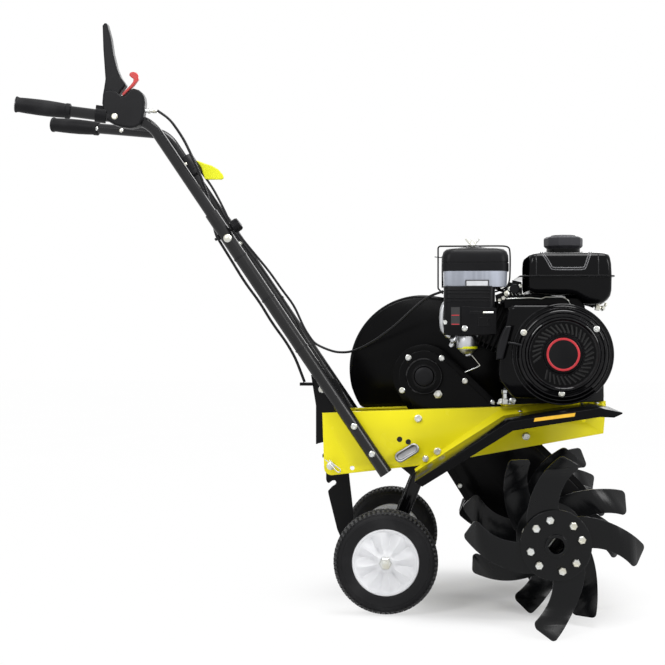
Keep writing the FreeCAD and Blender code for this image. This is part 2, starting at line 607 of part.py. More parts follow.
def tube_shape(points, radius, wall, bend):
    """Hollow tube along a path of straight runs joined by tangent arcs."""
    path = rounded_path(points, bend)
    start = points[0]
    way = points[1] - points[0]
    shells = []
    for size in (radius, radius - wall):
        disc = Part.Wire(Part.makeCircle(size, start, way))
        shells.append(path.makePipeShell([disc], True, False))
    return shells[0].cut(shells[1])


def rounded_path(points, bend):
    """Wire through points with an arc of one radius at each inner point."""
    edges = []
    here = points[0]
    for before, corner, after in zip(points, points[1:], points[2:]):
        first = (before - corner).normalize()
        second = (after - corner).normalize()
        half = first.getAngle(second) / 2
        back = bend / math.tan(half)
        enter = corner + first * back
        leave = corner + second * back
        centre = corner + (first + second).normalize() * (bend / math.sin(half))
        middle = centre + (corner - centre).normalize() * bend
        edges.append(Part.LineSegment(here, enter).toShape())
        edges.append(Part.Arc(enter, middle, leave).toShape())
        here = leave
    edges.append(Part.LineSegment(here, points[-1]).toShape())
    return Part.Wire(edges)


def shaped(name, shape, x="0", y="0", z="0"):
    """A sub-part whose solid comes from Part's own functions, worked out from the sheet."""
    item = doc.addObject("Part::Feature", name)
    item.Shape = shape
    place(item, x, y, z)
    return node(name, item)


def bar_points(side):
    """Upper tube's start, bend and end, measured from the low end of the lower tube."""
    high = Vector(val("tube_high_x - tube_low_x"), 0, val("tube_high_z - tube_low_z"))
    unit = Vector(high).normalize()
    bend = unit * val("bend_reach")
    tip = bend + Vector(-val("grip_back"), side * val("grip_spread"), val("grip_rise"))
    return [high - unit * val("upper_start"), bend, tip]


def beside_tube(reach, offset, side):
    """Place at a distance up the tube, an offset in front of its axis and a sideways place."""
    start, bend, _ = bar_points(1)
    unit = Vector(bend).normalize()
    front = Vector(unit.z, 0, -unit.x)
    foot = Vector(val("tube_low_x"), 0, val("tube_low_z"))
    return foot + unit * reach + front * offset + Vector(0, side, 0)


def handle_at(side):
    return "tube_low_x", f"{side} * handle_half", "tube_low_z"


def handle():
    """Two straight lower tubes, two bent upper tubes inside them and the grips."""
    low = Vector(0, 0, 0)
    high = Vector(val("tube_high_x - tube_low_x"), 0, val("tube_high_z - tube_low_z"))
    for name, side in SIDES:
        at = handle_at(side)
        lower = tube_shape([low, high], val("tube_radius"), val("tube_wall"), 1)
        shaped(f"lower_tube_{name}", lower, *at)
        path = bar_points(side)
        upper = tube_shape(path, val("upper_radius"), val("tube_wall"), val("bend_radius"))
        shaped(f"upper_tube_{name}", upper, *at)
        tip = path[2]
        back = (path[1] - tip).normalize()
        first = tip - back * val("grip_past")
        outer = Part.makeCylinder(val("grip_radius"), val("grip_long"), first, back)
        core = Part.makeCylinder(val("upper_radius + seat_gap"), val("grip_long"), tip, back)
        shaped(f"grip_{name}", outer.cut(core), *at)


def handle_knobs():
    """Clamp knob on the front of each lower tube, its stem standing on the tube."""
    knobs = []
    for side in (-1, 1):
        across = side * val("handle_half")
        seat = beside_tube(val("knob_reach"), val("tube_radius + seat_gap"), across)
        out = beside_tube(val("knob_reach"), val("knob_start"), across)
        way = (out - seat).normalize()
        stem = Part.makeCylinder(val("knob_stem"), (out - seat).Length + 1, seat, way)
        head = Part.makeCylinder(val("knob_radius"), val("knob_long"), out, way)
        knobs.append(stem.fuse(head).removeSplitter())
    shaped("handle_knobs", Part.makeCompound(knobs))


def plate_shape(points, near, far):
    """Flat outline in XZ with a thickness in Y."""
    corners = [Vector(x, near, z) for x, z in points]
    face = Part.Face(Part.makePolygon(corners + corners[:1]))
    return face.extrude(Vector(0, far - near, 0))


def bar_core(side):
    """Room for the upper tube with its seat gap, in the row's own place."""
    foot = Vector(*[val(part) for part in handle_at(side)])
    points = [foot + point for point in bar_points(side)]
    path = rounded_path(points, val("bend_radius"))
    way = points[1] - points[0]
    disc = Part.Wire(Part.makeCircle(val("upper_radius + seat_gap"), points[0], way))
    return path.makePipeShell([disc], True, False), points


LEVER_FOOT = [("-unit_rear", "lever_foot_z"), ("-lever_seat_x", "lever_seat_z")]
HOOK_FOOT = [("-hook_foot_x", "hook_foot_z"), ("-hook_seat_x", "hook_seat_z")]


def at_bend(points):
    """Outline points given from the near tube's bend, as numbers in the row."""
    bend = beside_tube(val("bend_reach"), 0, 0)
    return [(bend.x + val(x), bend.z + val(z)) for x, z in points]


def lever_unit():
    """Clutch lever, its red lock hook and their housing, clamped on the near bar."""
    core, points = bar_core(-1)
    along_bar = (points[2] - points[1]).normalize()
    first = points[1] + along_bar * val("sleeve_front")
    long = val("sleeve_rear - sleeve_front")
    sleeve = Part.makeCylinder(val("sleeve_radius"), long, first, along_bar)
    body = [
        ("-unit_rear", "-unit_heel"), ("-unit_front", "-unit_low"), ("-unit_front", "nose_low"),
        ("cable_nose", "nose_low"), ("cable_nose", "nose_high"), ("-unit_front", "nose_high"),
        ("-unit_front", "unit_top"), HOOK_FOOT[1], HOOK_FOOT[0], LEVER_FOOT[1], LEVER_FOOT[0],
    ]
    block = plate_shape(at_bend(body), -val("unit_out"), -val("unit_in"))
    shaped("lever_housing", block.fuse(sleeve).cut(core).removeSplitter())
    bend = beside_tube(val("bend_reach"), 0, 0)
    lever = new_body("clutch_lever", bend.x, "0", bend.z)
    blade = [
        *LEVER_FOOT,
        ("-lever_neck_x", "lever_neck_z", "lever_hollow", "left"),
        ("-lever_tip_x", "lever_tip_z"),
        ("-lever_crown_x", "lever_crown_z"),
        ("-lever_back_x", "lever_back_z", "lever_sweep", "left"),
        ("-lever_waist_x", "lever_waist_z"),
    ]
    middle = "-(unit_out + unit_in) / 2"
    pad(lever, "XZ", f"{middle} - lever_wide / 2", "lever_wide", lambda s: outline(s, blade))
    hook = [
        *HOOK_FOOT, ("-hook_front_x", "hook_front_z"), ("-hook_bend_x", "hook_bend_z"),
        ("-hook_top_x", "hook_top_z"), ("-hook_tip_x", "hook_tip_z"), ("-hook_inner_x", "hook_bend_z"),
        ("-hook_back_x", "hook_back_z"),
    ]
    far = val(f"{middle} + hook_wide / 2")
    shaped("lock_trigger", plate_shape(at_bend(hook), far - val("hook_wide"), far))


def throttle():
    """Twist housing round the far tube with its thumb paddle."""
    core, _ = bar_core(1)
    across = val("handle_half")
    low = beside_tube(val("throttle_low"), 0, across)
    high = beside_tube(val("throttle_high"), 0, across)
    sleeve = Part.makeCylinder(val("throttle_sleeve"), (high - low).Length, low, high - low)
    shaped("throttle_housing", sleeve.cut(core))
    paddle = [
        ("throttle_high - paddle_high", "seat_gap"),
        ("throttle_low", "paddle_top_out"),
        ("throttle_low - paddle_drop", "paddle_out"),
        ("throttle_low - paddle_tip_drop", "paddle_tip_out"),
        ("throttle_low - paddle_end_drop", "paddle_end_out"),
        ("throttle_low - paddle_root_drop", "0"),
        ("throttle_low + paddle_low", "seat_gap"),
    ]
    spots = [beside_tube(val(reach), val(f"throttle_sleeve + {out}"), 0) for reach, out in paddle]
    half = val("throttle_wide / 2")
    flat = [(spot.x, spot.z) for spot in spots]
    shaped("throttle_lever", plate_shape(flat, across - half, across + half))


def cable_shape(points):
    """Solid cable along runs joined by tangent arcs, each as wide as its shorter run lets it be."""
    edges = []
    here = points[0]
    arcs = []
    for before, corner, after in zip(points, points[1:], points[2:]):
        first = before - corner
        second = after - corner
        shorter = min(first.Length, second.Length)
        first.normalize()
        second.normalize()
        half = first.getAngle(second) / 2
        back = CABLE_SHARE * shorter
        radius = back * math.tan(half)
        centre = corner + (first + second).normalize() * (radius / math.sin(half))
        middle = centre + (corner - centre).normalize() * radius
        edges.append(Part.LineSegment(here, corner + first * back).toShape())
        edges.append(Part.Arc(corner + first * back, middle, corner + second * back).toShape())
        here = corner + second * back
        arcs.append(radius)
    edges.append(Part.LineSegment(here, points[-1]).toShape())
    path = Part.Wire(edges)
    size = val("cable_radius")
    disc = Part.Wire(Part.makeCircle(size, points[0], points[1] - points[0]))
    solid = path.makePipeShell([disc], True, False)
    fill = solid.Volume / (path.Length * math.pi * size ** 2)
    print(f"cable {path.Length:.0f} mm long, tightest arc {min(arcs):.0f}, volume ratio {fill:.3f}")
    return solid


CABLE_SHARE = 0.45


def cables():
    """Two clutch cables down the near tube and the throttle cable down the far one."""
    bend = beside_tube(val("bend_reach"), 0, 0)
    route = [
        (18.8, -102, 20), (43.3, -102, 3), (70.3, -100, -35), (90.3, -96, -78), (107.3, -80, -122),
        (118.3, -68, -162), (126.3, -66, -195), (130.3, -74, -225),
    ]
    down = [(523, -20, -80), (473, -22, -82), (424, -19.5, -80), (376, -22, -82), (329, -20, -80),
            (292, -22.5, -79)]
    points = [bend + Vector(*spot) for spot in route] + [beside_tube(*spot) for spot in down]
    points.append(Vector(-29, -74, 437.1))
    pair = []
    for step in (0, 1):
        shift = Vector(0, step * val("cable_step"), 0)
        pair.append(cable_shape([point + shift for point in points]))
    shaped("clutch_cables", Part.makeCompound(pair))
    along_tube = [(738.7, 17, 88.5), (700, 18.5, 86), (655, 15, 76), (612, 9, 69), (570, 11, 69),
                  (527, 15, 73), (480, 19.5, 79), (432, 20, 80), (392, 23, 76)]
    span = [
        (-41, 66, 542), (-21, 60, 514), (-1, 54, 504), (25, 45, 495), (54, 34, 495), (80, 24, 504),
        (112, 10, 522), (152, -12, 551), (189, -42, 585), (218, -68, 608), (247.6, -84, 618),
    ]
    points = [beside_tube(*spot) for spot in along_tube] + [Vector(*spot) for spot in span]
    shaped("throttle_cable", cable_shape(points))


def starter_grip():
    """Pull handle resting on the cowl."""
    body = new_body("starter_grip")
    line = [
        ("starter_low_rear", "starter_low_z"),
        ("starter_low_front", "starter_low_z"),
        ("starter_top_front", "starter_top_z"),
        ("starter_top_rear", "starter_top_z", "starter_bow", "right"),
    ]
    pad(body, "XZ", "fan_near - starter_deep", "starter_deep", lambda s: outline(s, line))
    soften(body, "starter_round", lambda e: e.BoundBox.YLength < 1 and e.BoundBox.YMin < val("fan_near") - 1)


def guard_rod():
    """Bent rod from the air cleaner's base over to the stud on its cover."""
    points = [
        Vector(val("base_rear"), val("guard_y"), val("guard_low_z")),
        Vector(val("guard_x"), val("guard_y"), val("guard_bend_z")),
        Vector(val("guard_x"), val("guard_y"), val("guard_top_z")),
        Vector(val("stud_x - stud_radius"), val("guard_y"), val("guard_top_z")),
    ]
    points[0] += (points[1] - points[0]).normalize() * val("guard_seat")
    path = rounded_path(points, val("guard_bend"))
    disc = Part.Wire(Part.makeCircle(val("guard_radius"), points[0], points[1] - points[0]))
    shaped("air_cleaner_guard", path.makePipeShell([disc], True, False))


def stand_lock():
    """Oval pull plate on its pin, which holds the wheel stand down."""
    lean = ("lock_reach * cos(lock_lean)", "lock_reach * sin(lock_lean)")
    body = new_body("stand_lock", "lock_x", "0", "lock_z")
    out = "-(frame_outer + lock_out)"
    ends = [(f"-{lean[0]}", f"-{lean[1]}"), lean]
    rim = [(*end, "lock_radius") for end in ends]
    pad(body, "XZ", f"{out} - lock_wall", "lock_wall", lambda s: hull(s, *rim))
    pad(body, "XZ", out, "lock_out", lambda s: ring(s, *ends[1], "lock_inner"))
    dish = [(*e, "lock_inner") for e in ends]
    pocket(body, "XZ", f"{out} - lock_wall - 1", "lock_wall / 2 + 1", lambda s: hull(s, *dish))


def handle_bracket():
    """Folded bracket behind the frame that steadies the handle tubes."""
    body = new_body("handle_bracket")
    wall = [
        ("bracket_rear", "bracket_low_z"),
        ("bracket_rear + bracket_wall", "bracket_low_z"),
        ("bracket_rear + bracket_wall", "bracket_knee_z"),
        ("bracket_rear + bracket_wall - bracket_lean", "bracket_top_z"),
        ("bracket_rear - bracket_lean", "bracket_top_z"),
        ("bracket_rear", "bracket_knee_z"),
    ]
    inner = "(frame_outer - plate_wall)"
    pad(body, "XZ", f"-{inner}", f"2 * {inner}", lambda s: outline(s, wall))
    wing = [
        ("bracket_rear", "bracket_low_z"),
        ("wing_front", "bracket_low_z + wing_rise"),
        ("wing_front - wing_chop", "bracket_knee_z - wing_step"),
        ("wing_top_x", "bracket_top_z - wing_drop"),
        ("bracket_rear - bracket_lean", "bracket_top_z"),
        ("bracket_rear", "bracket_knee_z"),
    ]
    for name, side in SIDES:
        span = y_range(side, f"{inner} - bracket_wall", inner)
        pad(body, "XZ", *span, lambda s: outline(s, wing))
    shelf = [
        ("stop_rear", "stop_z - stop_wall"),
        ("bracket_rear - stop_in", "stop_z - stop_wall"),
        ("bracket_rear - stop_in", "stop_z"),
        ("stop_rear", "stop_z"),
    ]
    pad(body, "XZ", "-(frame_outer + stop_past)", "stop_wide", lambda s: outline(s, shelf))


def drag_stake():
    """Flat depth stake with a hook notch, held in slots of the rear crossmember."""
    stake = new_body("drag_stake", "stake_rear")
    line = [
        ("0", "stake_top_z"),
        ("0", "notch_top_z"),
        ("notch_deep", "notch_z"),
        ("notch_low_x", "notch_low_z"),
        ("stake_bow_x", "stake_bow_z"),
        ("stake_tip_x", "stake_tip_z"),
        ("stake_toe_x", "stake_toe_z"),
        ("stake_heel_x", "stake_heel_z"),
        ("stake_wide", "stake_hip_z"),
        ("stake_wide", "stake_top_z"),
    ]
    pad(stake, "XZ", "-stake_half", "2 * stake_half", lambda s: outline(s, line))
    brace = new_body("rear_crossmember")
    inner = "(frame_outer - plate_wall)"
    level = ("brace_low_z", "brace_low_z + brace_wall")
    box(brace, "frame_rear", "brace_front", f"-{inner}", inner, *level)
    half = "(stake_half + stake_gap)"
    rear, front = "stake_rear - stake_gap", "stake_rear + stake_wide + stake_gap"
    slot = [(rear, f"-{half}"), (front, f"-{half}"), (front, half), (rear, half)]
    pocket(brace, "XY", "brace_low_z - 1", "brace_wall + 2", lambda s: outline(s, slot))


def wheel_stand():
    """Fork that carries the wheels: cross tube, two legs and two stub axles."""
    body = new_body("wheel_stand", "stand_pivot_x", "0", "stand_pivot_z")
    inner = "frame_outer - plate_wall - side_gap"
    tube = ("0", "0", "pivot_tube_radius")
    pad(body, "XZ", f"-({inner})", f"2 * ({inner})", lambda s: ring(s, *tube))
    foot = ("wheel_x - stand_pivot_x", "wheel_radius - stand_pivot_z")
    half = "stand_wide / 2"
    leg = [("0", "0", half), (*foot, half)]
    for name, side in SIDES:
        span = y_range(side, "stand_inner", "stand_inner + stand_wall")
        pad(body, "XZ", *span, lambda s: hull(s, *leg))
        stub = y_range(side, "stand_inner", "wheel_track / 2 + tyre_wide / 2 + stub_out")
        pad(body, "XZ", *stub, lambda s: ring(s, *foot, "axle_radius"))
    bore = ("0", "0", "pivot_pin_radius + running_gap")
    pocket(body, "XZ", f"-({inner}) - 1", f"2 * ({inner}) + 2", lambda s: ring(s, *bore))
    pin = new_body("stand_pivot_pin", "stand_pivot_x", "0", "stand_pivot_z")
    reach = "frame_outer + pin_out"
    pad(pin, "XZ", f"-({reach})", f"2 * ({reach})", lambda s: ring(s, "0", "0", "pivot_pin_radius"))


def wheels():
    """Solid tyre on a moulded disc wheel; each turned about its own axle."""
    for name, side in SIDES:
        at = ("wheel_x", f"{side} * wheel_track / 2", "wheel_radius")
        tyre = new_body(f"tyre_{name}", *at)
        half = "tyre_wide / 2"
        pad(tyre, "XZ", f"-({half})", "tyre_wide", lambda s: ring(s, "0", "0", "wheel_radius"))
        soften(tyre, "tyre_round", lambda e: e.Curve.TypeId == "Part::GeomCircle")
        pocket(tyre, "XZ", f"-({half}) - 1", "tyre_wide + 2", lambda s: ring(s, "0", "0", "rim_radius"))
        rim = new_body(f"wheel_{name}", *at)
        wide = "rim_wide / 2"
        pad(rim, "XZ", f"-({wide})", "rim_wide", lambda s: ring(s, "0", "0", "rim_radius"))
        hub = "tyre_wide / 2"
        pad(rim, "XZ", f"-({hub})", "tyre_wide", lambda s: ring(s, "0", "0", "hub_radius"))
        bore = ("0", "0", "axle_radius + running_gap")
        pocket(rim, "XZ", f"-({hub}) - 1", "tyre_wide + 2", lambda s: ring(s, *bore))


BLADE = [
    ("-root_rear", "tube_out + root_gap"),
    ("-root_rear", "back_start", "back_radius", "left"),
    ("tip_rear", "tip_radius - tip_rear_drop", "tip_corner", "left"),
    ("tip_crown", "tip_radius - tip_crown_drop"),
    ("tip_front", "tip_radius - tip_front_drop", "tip_toe_corner", "left"),
    ("tip_heel", "tip_radius - tip_heel_drop", "belly_radius", "right"),
    ("root_front", "belly_start"),
    ("root_front", "tube_out + root_gap"),
]


def blade_shape(bend):
    """One tine: a strip bent sideways near its end, trimmed to a sickle. Z is outwards."""
    tool = doc.addObject("PartDesign::Body", "blade_bent_" + ("left" if bend > 0 else "right"))
    turn_by = math.radians(val("bend_angle"))
    wall = val("blade_wall")
    radius = val("blade_bend")
    start = val("bend_start")
    straight = val("blade_tail")
    half = val("blade_strip")
    low = val("tube_out") / 2
    top = start + radius * math.sin(turn_by) + straight * math.cos(turn_by)
    side = bend * (radius * (1 - math.cos(turn_by)) + straight * math.sin(turn_by))
    path = Part.Wire([
        Part.LineSegment(Vector(0, 0, low), Vector(0, 0, start)).toShape(),
        Part.Arc(
            Vector(0, 0, start),
            Vector(0, bend * radius * (1 - math.cos(turn_by / 2)), start + radius * math.sin(turn_by / 2)),
            Vector(0, bend * radius * (1 - math.cos(turn_by)), start + radius * math.sin(turn_by)),
        ).toShape(),
        Part.LineSegment(
            Vector(0, bend * radius * (1 - math.cos(turn_by)), start + radius * math.sin(turn_by)),
            Vector(0, side, top),
        ).toShape(),
    ])
    section = Part.makePolygon([
        Vector(-half, -wall / 2, low), Vector(half, -wall / 2, low), Vector(half, wall / 2, low),
        Vector(-half, wall / 2, low), Vector(-half, -wall / 2, low),
    ])
    strip = path.makePipeShell([section], True, False)
    sketch = doc.addObject("Sketcher::SketchObject", tool.Name + "_sketch")
    outline(sketch, BLADE)
    doc.recompute()
    flat = Part.Face(Part.Wire(sketch.Shape.Edges))
    prism = flat.extrude(Vector(0, 0, 4 * half))
    prism.Placement = Placement(Vector(0, 2 * half, 0), Rotation(Vector(1, 0, 0), 90))
    doc.removeObject(tool.Name)
    return strip.common(prism)


def rotor():
    """Shaft through the chain case, six hubs and six sets of four tines."""
    shaft = new_body("tine_shaft", "rotor_x", "0", "rotor_z")
    reach = "hub_end - spigot_long - 1"
    pad(shaft, "XZ", f"-({reach})", f"2 * ({reach})", lambda s: ring(s, "0", "0", "shaft_radius"))
    leaning = {1: blade_shape(1), -1: blade_shape(-1)}
    joints = {"inner": ("hub_start", "(set_inner + set_middle) / 2"),
              "middle": ("(set_inner + set_middle) / 2", "(set_middle + set_outer) / 2"),
              "outer": ("(set_middle + set_outer) / 2", "hub_end")}
    for name, side in SIDES:
        for row_name, (near, far) in joints.items():
            hub = new_body(f"tine_hub_{row_name}_{name}", "rotor_x", "0", "rotor_z")
            disc = f"set_{row_name}"
            pad(hub, "XZ", *y_range(side, near, far), lambda s: ring(s, "0", "0", "tube_out"))
            plate = y_range(side, f"{disc} - hub_wall / 2", f"{disc} + hub_wall / 2")
            pad(hub, "XZ", *plate, lambda s: ring(s, "0", "0", "hub_disc"))
            span = y_range(side, f"{near} - 1", f"{far} + 1")
            pocket(hub, "XZ", *span, lambda s: ring(s, "0", "0", "shaft_radius + running_gap"))
            if row_name == "outer":
                spigot = y_range(side, "hub_end - spigot_long", f"{far} + 1")
                pocket(hub, "XZ", *spigot, lambda s: ring(s, "0", "0", "spigot_radius"))
            blades = []
            turn = val(f"phase_{row_name}") + (val("phase_left") if side > 0 else 0)
            for quarter in range(4):
                bend = 1 if quarter % 2 else -1
                blade = leaning[bend].copy()
                blade.rotate(Vector(0, 0, 0), Vector(0, 1, 0), 90 * quarter + turn)
                blades.append(blade)
            face = "+" if row_name == "inner" else "-"
            seat = f"{side} * ({disc} {face} (hub_wall / 2 + blade_wall / 2))"
            shape = Part.makeCompound(blades)
            shaped(f"tines_{row_name}_{name}", shape, "rotor_x", seat, "rotor_z")


for make in (
    frame_plates, fenders, engine_deck, chain_cases, bearing_cap, belt_cover, crankcase, cylinder,
    fan_housing, starter_grip, fuel_tank, air_cleaner, guard_rod, carburettor, muffler, handle,
    handle_knobs, lever_unit, throttle, cables, handle_bracket, drag_stake, wheel_stand, stand_lock,
    wheels, rotor,
):
    make()
doc.recompute()

for item in doc.Objects:
    if "Invalid" in item.State or "Error" in item.State:
        raise RuntimeError(f"{item.Name}: {item.State}")
os.makedirs("parts", exist_ok=True)
for item in nodes:
    shape = item.Shape
    if shape.isNull() or not shape.isValid():
        raise RuntimeError(f"{item.Label}: no valid shape")
    shape.exportStep(f"parts/{item.Label}.step")
    print(f"{item.Label}: {len(shape.Solids)} solids, {shape.Volume / 1000:.1f} cm3")
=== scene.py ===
"""Looks for the garden tiller: finishes for its CAD bodies and the small pieces they carry."""

import json
import math

import bmesh
import bpy
from mathutils import Matrix, Vector

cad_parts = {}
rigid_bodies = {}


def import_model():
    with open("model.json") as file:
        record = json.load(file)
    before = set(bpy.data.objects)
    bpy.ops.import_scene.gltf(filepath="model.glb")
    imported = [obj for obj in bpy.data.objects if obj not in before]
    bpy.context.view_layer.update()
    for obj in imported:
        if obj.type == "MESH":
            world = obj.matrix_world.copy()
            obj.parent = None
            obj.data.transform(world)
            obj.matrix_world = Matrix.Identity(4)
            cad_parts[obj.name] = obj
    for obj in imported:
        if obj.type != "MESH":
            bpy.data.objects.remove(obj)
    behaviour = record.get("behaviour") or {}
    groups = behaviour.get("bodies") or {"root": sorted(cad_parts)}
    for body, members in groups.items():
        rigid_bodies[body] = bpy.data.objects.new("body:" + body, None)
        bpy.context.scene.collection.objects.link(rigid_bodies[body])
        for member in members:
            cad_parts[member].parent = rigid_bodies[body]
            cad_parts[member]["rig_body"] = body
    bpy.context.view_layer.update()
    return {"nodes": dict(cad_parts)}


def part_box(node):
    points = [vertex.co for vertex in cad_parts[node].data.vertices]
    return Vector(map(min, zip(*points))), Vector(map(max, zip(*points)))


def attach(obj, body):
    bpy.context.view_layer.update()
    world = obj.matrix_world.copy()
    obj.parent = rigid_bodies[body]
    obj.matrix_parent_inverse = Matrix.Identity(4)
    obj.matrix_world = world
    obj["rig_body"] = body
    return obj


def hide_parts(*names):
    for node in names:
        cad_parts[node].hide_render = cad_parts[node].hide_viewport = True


bl_info = {
    "name": "Garden tiller",
    "version": (1, 0, 0),
    "blender": (4, 5, 0),
    "location": "View3D > Sidebar > Tiller",
    "description": "Dresses the walk-behind tiller's frame with finishes and small parts",
    "category": "Object",
}

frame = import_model()
MM = 0.001
SIDES = (("right", -1), ("left", 1))

# directions, and places in millimetres
UP = (0, 0, 1)
NEAR = (0, -1, 0)
FAR = (0, 1, 0)
PLATE_Y = 75                                # outer faces of the side plates
TUBE_Y = 88.5                               # centres of the handle tubes
TUBE_WAY = Vector((-0.5598, 0, 0.8286))     # up along the straight part of a tube
TUBE_FRONT = Vector((0.8286, 0, 0.5598))    # square to it, to the front
KNOB_REACH = 577                            # clamp knob, along a tube from its foot
ROTOR_X, ROTOR_Z = 444.5, 160.4
TINE_BOLT_RING = 46
DRIVE_X, DRIVE_Z = 210, 448                 # the chain case's upper bearing
TANK_SEAM, TANK_CROWN = 646, 693
LID_TOP = 703                               # top of the air cleaner
CRANK_X, CRANK_Z = 476, 494.5


# --- shader tools ---------------------------------------------------------------------------

MIX_FIRST, MIX_SECOND, MIX_COLOUR = 6, 7, 2     # a colour Mix node's sockets
OBJECT_PLACE = 3                                # Texture Coordinate's Object output
SEEN_RAYS = (0, 3, 6)                          # Light Path's camera, glossy and transmission


def opaque(colour):
    """A plain colour with its alpha; anything else as it is."""
    return (*colour, 1) if isinstance(colour, tuple) and len(colour) == 3 else colour


class Link:
    """A shader output that adds nodes when it is used in an expression."""

    def __init__(self, shade, socket):
        self.shade = shade
        self.socket = socket

    def math(self, operation, *others):
        settings = {"operation": operation}
        return self.shade.node("ShaderNodeMath", settings, {0: self, **dict(enumerate(others, 1))})

    def __add__(self, other):
        return self.math("ADD", other)

    def __rsub__(self, other):
        return self.shade.node("ShaderNodeMath", {"operation": "SUBTRACT"}, {0: other, 1: self})

    def __mul__(self, other):
        return self.math("MULTIPLY", other)

    def ramp(self, low, high):
        """0 below low, 1 above high, smooth between."""
        settings = {"interpolation_type": "SMOOTHSTEP"}
        return self.shade.node("ShaderNodeMapRange", settings, {0: self, 1: low, 2: high})


class Shade:
    """The node tree of a new material, or of a world."""

    def __init__(self, block):
        self.block = bpy.data.materials.new(block) if isinstance(block, str) else block
        self.block.use_nodes = True
        self.tree = self.block.node_tree
        self.tree.nodes.clear()

    def node(self, kind, settings=None, inputs=None, output=0):
        """Adds a node, sets it up, joins its sockets and returns one of its outputs."""
        made = self.tree.nodes.new(kind)
        for key, value in (settings or {}).items():
            if key == "stops":
                for stop, (place, colour) in zip(made.color_ramp.elements, value):
                    stop.position, stop.color = place, colour
            else:
                setattr(made, key, value)
        for key, value in (inputs or {}).items():
            if isinstance(value, Link):
                self.tree.links.new(value.socket, made.inputs[key])
            else:
                made.inputs[key].default_value = value
        return Link(self, made.outputs[output])

    def blend(self, factor, first, second):
        """Mixes two colours."""
        inputs = {0: factor, MIX_FIRST: opaque(first), MIX_SECOND: opaque(second)}
        return self.node("ShaderNodeMix", {"data_type": "RGBA"}, inputs, MIX_COLOUR)

    def place(self):
        return self.node("ShaderNodeTexCoord", output=OBJECT_PLACE)

    def noise(self, scale, detail, spot=None):
        return self.node("ShaderNodeTexNoise", {}, {0: spot or self.place(), 2: scale, 3: detail})

    def edges(self, width):
        """About 1 along convex edges and 0 on open faces."""
        soft = self.node("ShaderNodeBevel", {"samples": 4}, {0: width})
        flat = self.node("ShaderNodeNewGeometry", output=1)
        alike = self.node("ShaderNodeVectorMath", {"operation": "DOT_PRODUCT"}, {0: soft, 1: flat}, 1)
        return 1 - alike.ramp(0.86, 0.995)

    def bump(self, height, depth, strength):
        inputs = {"Strength": strength, "Distance": depth, "Height": height}
        return self.node("ShaderNodeBump", {}, inputs)

    def surface(self, colour, roughness, normal=None, **fixed):
        """Ends the tree in a Principled surface."""
        inputs = {"Base Color": opaque(colour), "Roughness": roughness}
        if normal:
            inputs["Normal"] = normal
        inputs.update({key.replace("_", " "): value for key, value in fixed.items()})
        shader = self.node("ShaderNodeBsdfPrincipled", {}, inputs)
        self.end(shader)
        return self.block

    def end(self, shader, kind="Material"):
        made = self.tree.nodes.new(f"ShaderNodeOutput{kind}")
        self.tree.links.new(shader.socket, made.inputs[0])

    def seen(self):
        """1 for camera, glossy and transmission rays, 0 for the rest."""
        rays = [self.node("ShaderNodeLightPath", output=n) for n in SEEN_RAYS]
        return (rays[0] + rays[1] + rays[2]).math("MINIMUM", 1.0)


def lime_paint(colour):
    """Gloss enamel with a faint orange peel, paler along edges (partly wear, partly a painted highlight),
    dusty in patches.
    """
    s = Shade("lime_paint")
    tone = s.noise(6, 3)
    deep = tuple(c * 0.90 for c in colour)
    paint = s.blend(tone.ramp(0.35, 0.7), deep, colour)
    # edges painted paler: partly wear, partly a painted highlight
    worn_highlit_edge = s.edges(0.0012)
    paint = s.blend(worn_highlit_edge * 0.35, paint, (0.95, 0.93, 0.35))
    peel = s.bump(s.noise(420, 2), 0.00006, 0.5)
    dust = s.noise(14, 6).ramp(0.45, 0.8)
    return s.surface(paint, dust * 0.12 + 0.22, peel, Specular_IOR_Level=0.22)


def black_enamel(name, colour, roughness, grain, sheen=0.16, drift=0.35):
    """Sprayed black metal: slight tone drift, dust in the gloss and a paler grey edge that is partly wear and
    partly a painted highlight.
    """
    s = Shade(name)
    patch = s.noise(9, 4).ramp(0.3, 0.75)
    light = tuple(c * 1.5 + 0.002 for c in colour)
    paint = s.blend(patch * drift, colour, light)
    # edges painted paler grey: partly wear, partly a painted highlight
    worn_highlit_edge = s.edges(0.0011) * s.noise(60, 5).ramp(0.35, 0.6)
    paint = s.blend(worn_highlit_edge * 0.35, paint, (0.13, 0.13, 0.14))
    peel = s.bump(s.noise(grain, 3), 0.00006, 0.35)
    dust = s.noise(22, 6).ramp(0.4, 0.8)
    return s.surface(paint, dust * (0.25 * roughness) + roughness, peel, Specular_IOR_Level=sheen)


def moulded_plastic(name, colour, roughness, grain=900, depth=0.00008, spread=0.25, sheen=0.2):
    """Moulded plastic with a fine spark-eroded grain."""
    s = Shade(name)
    drift = s.noise(12, 3).ramp(0.3, 0.7)
    pale = tuple(min(1, c * (1 + spread) + 0.003) for c in colour)
    tint = s.blend(drift, colour, pale)
    rub = s.edges(0.0014) * 0.4
    tint = s.blend(rub, tint, tuple(min(1, c * 1.8 + 0.03) for c in colour))
    skin = s.bump(s.noise(grain, 2), depth, 0.5)
    return s.surface(tint, drift * 0.1 + roughness, skin, Specular_IOR_Level=sheen)


def rubber(name, colour, roughness, bloom):
    """Black rubber with a dusty grey bloom in patches."""
    s = Shade(name)
    patch = s.noise(18, 7).ramp(0.42, 0.75)
    skin = s.blend(patch * bloom, colour, (0.09, 0.09, 0.092))
    fine = s.bump(s.noise(1500, 2), 0.00012, 0.5)
    return s.surface(skin, patch * 0.15 + roughness, fine, Specular_IOR_Level=0.15)


def bare_metal(name, colour, roughness, grain, depth, tint=None):
    """Bare or plated metal: grain in the surface, patchy tone."""
    s = Shade(name)
    patch = s.noise(45, 5).ramp(0.3, 0.72)
    second = tint or tuple(c * 0.72 for c in colour)
    skin = s.blend(patch, colour, second)
    fine = s.bump(s.noise(grain, 4), depth, 0.6)
    return s.surface(skin, patch * 0.16 + roughness, fine, Metallic=1.0)


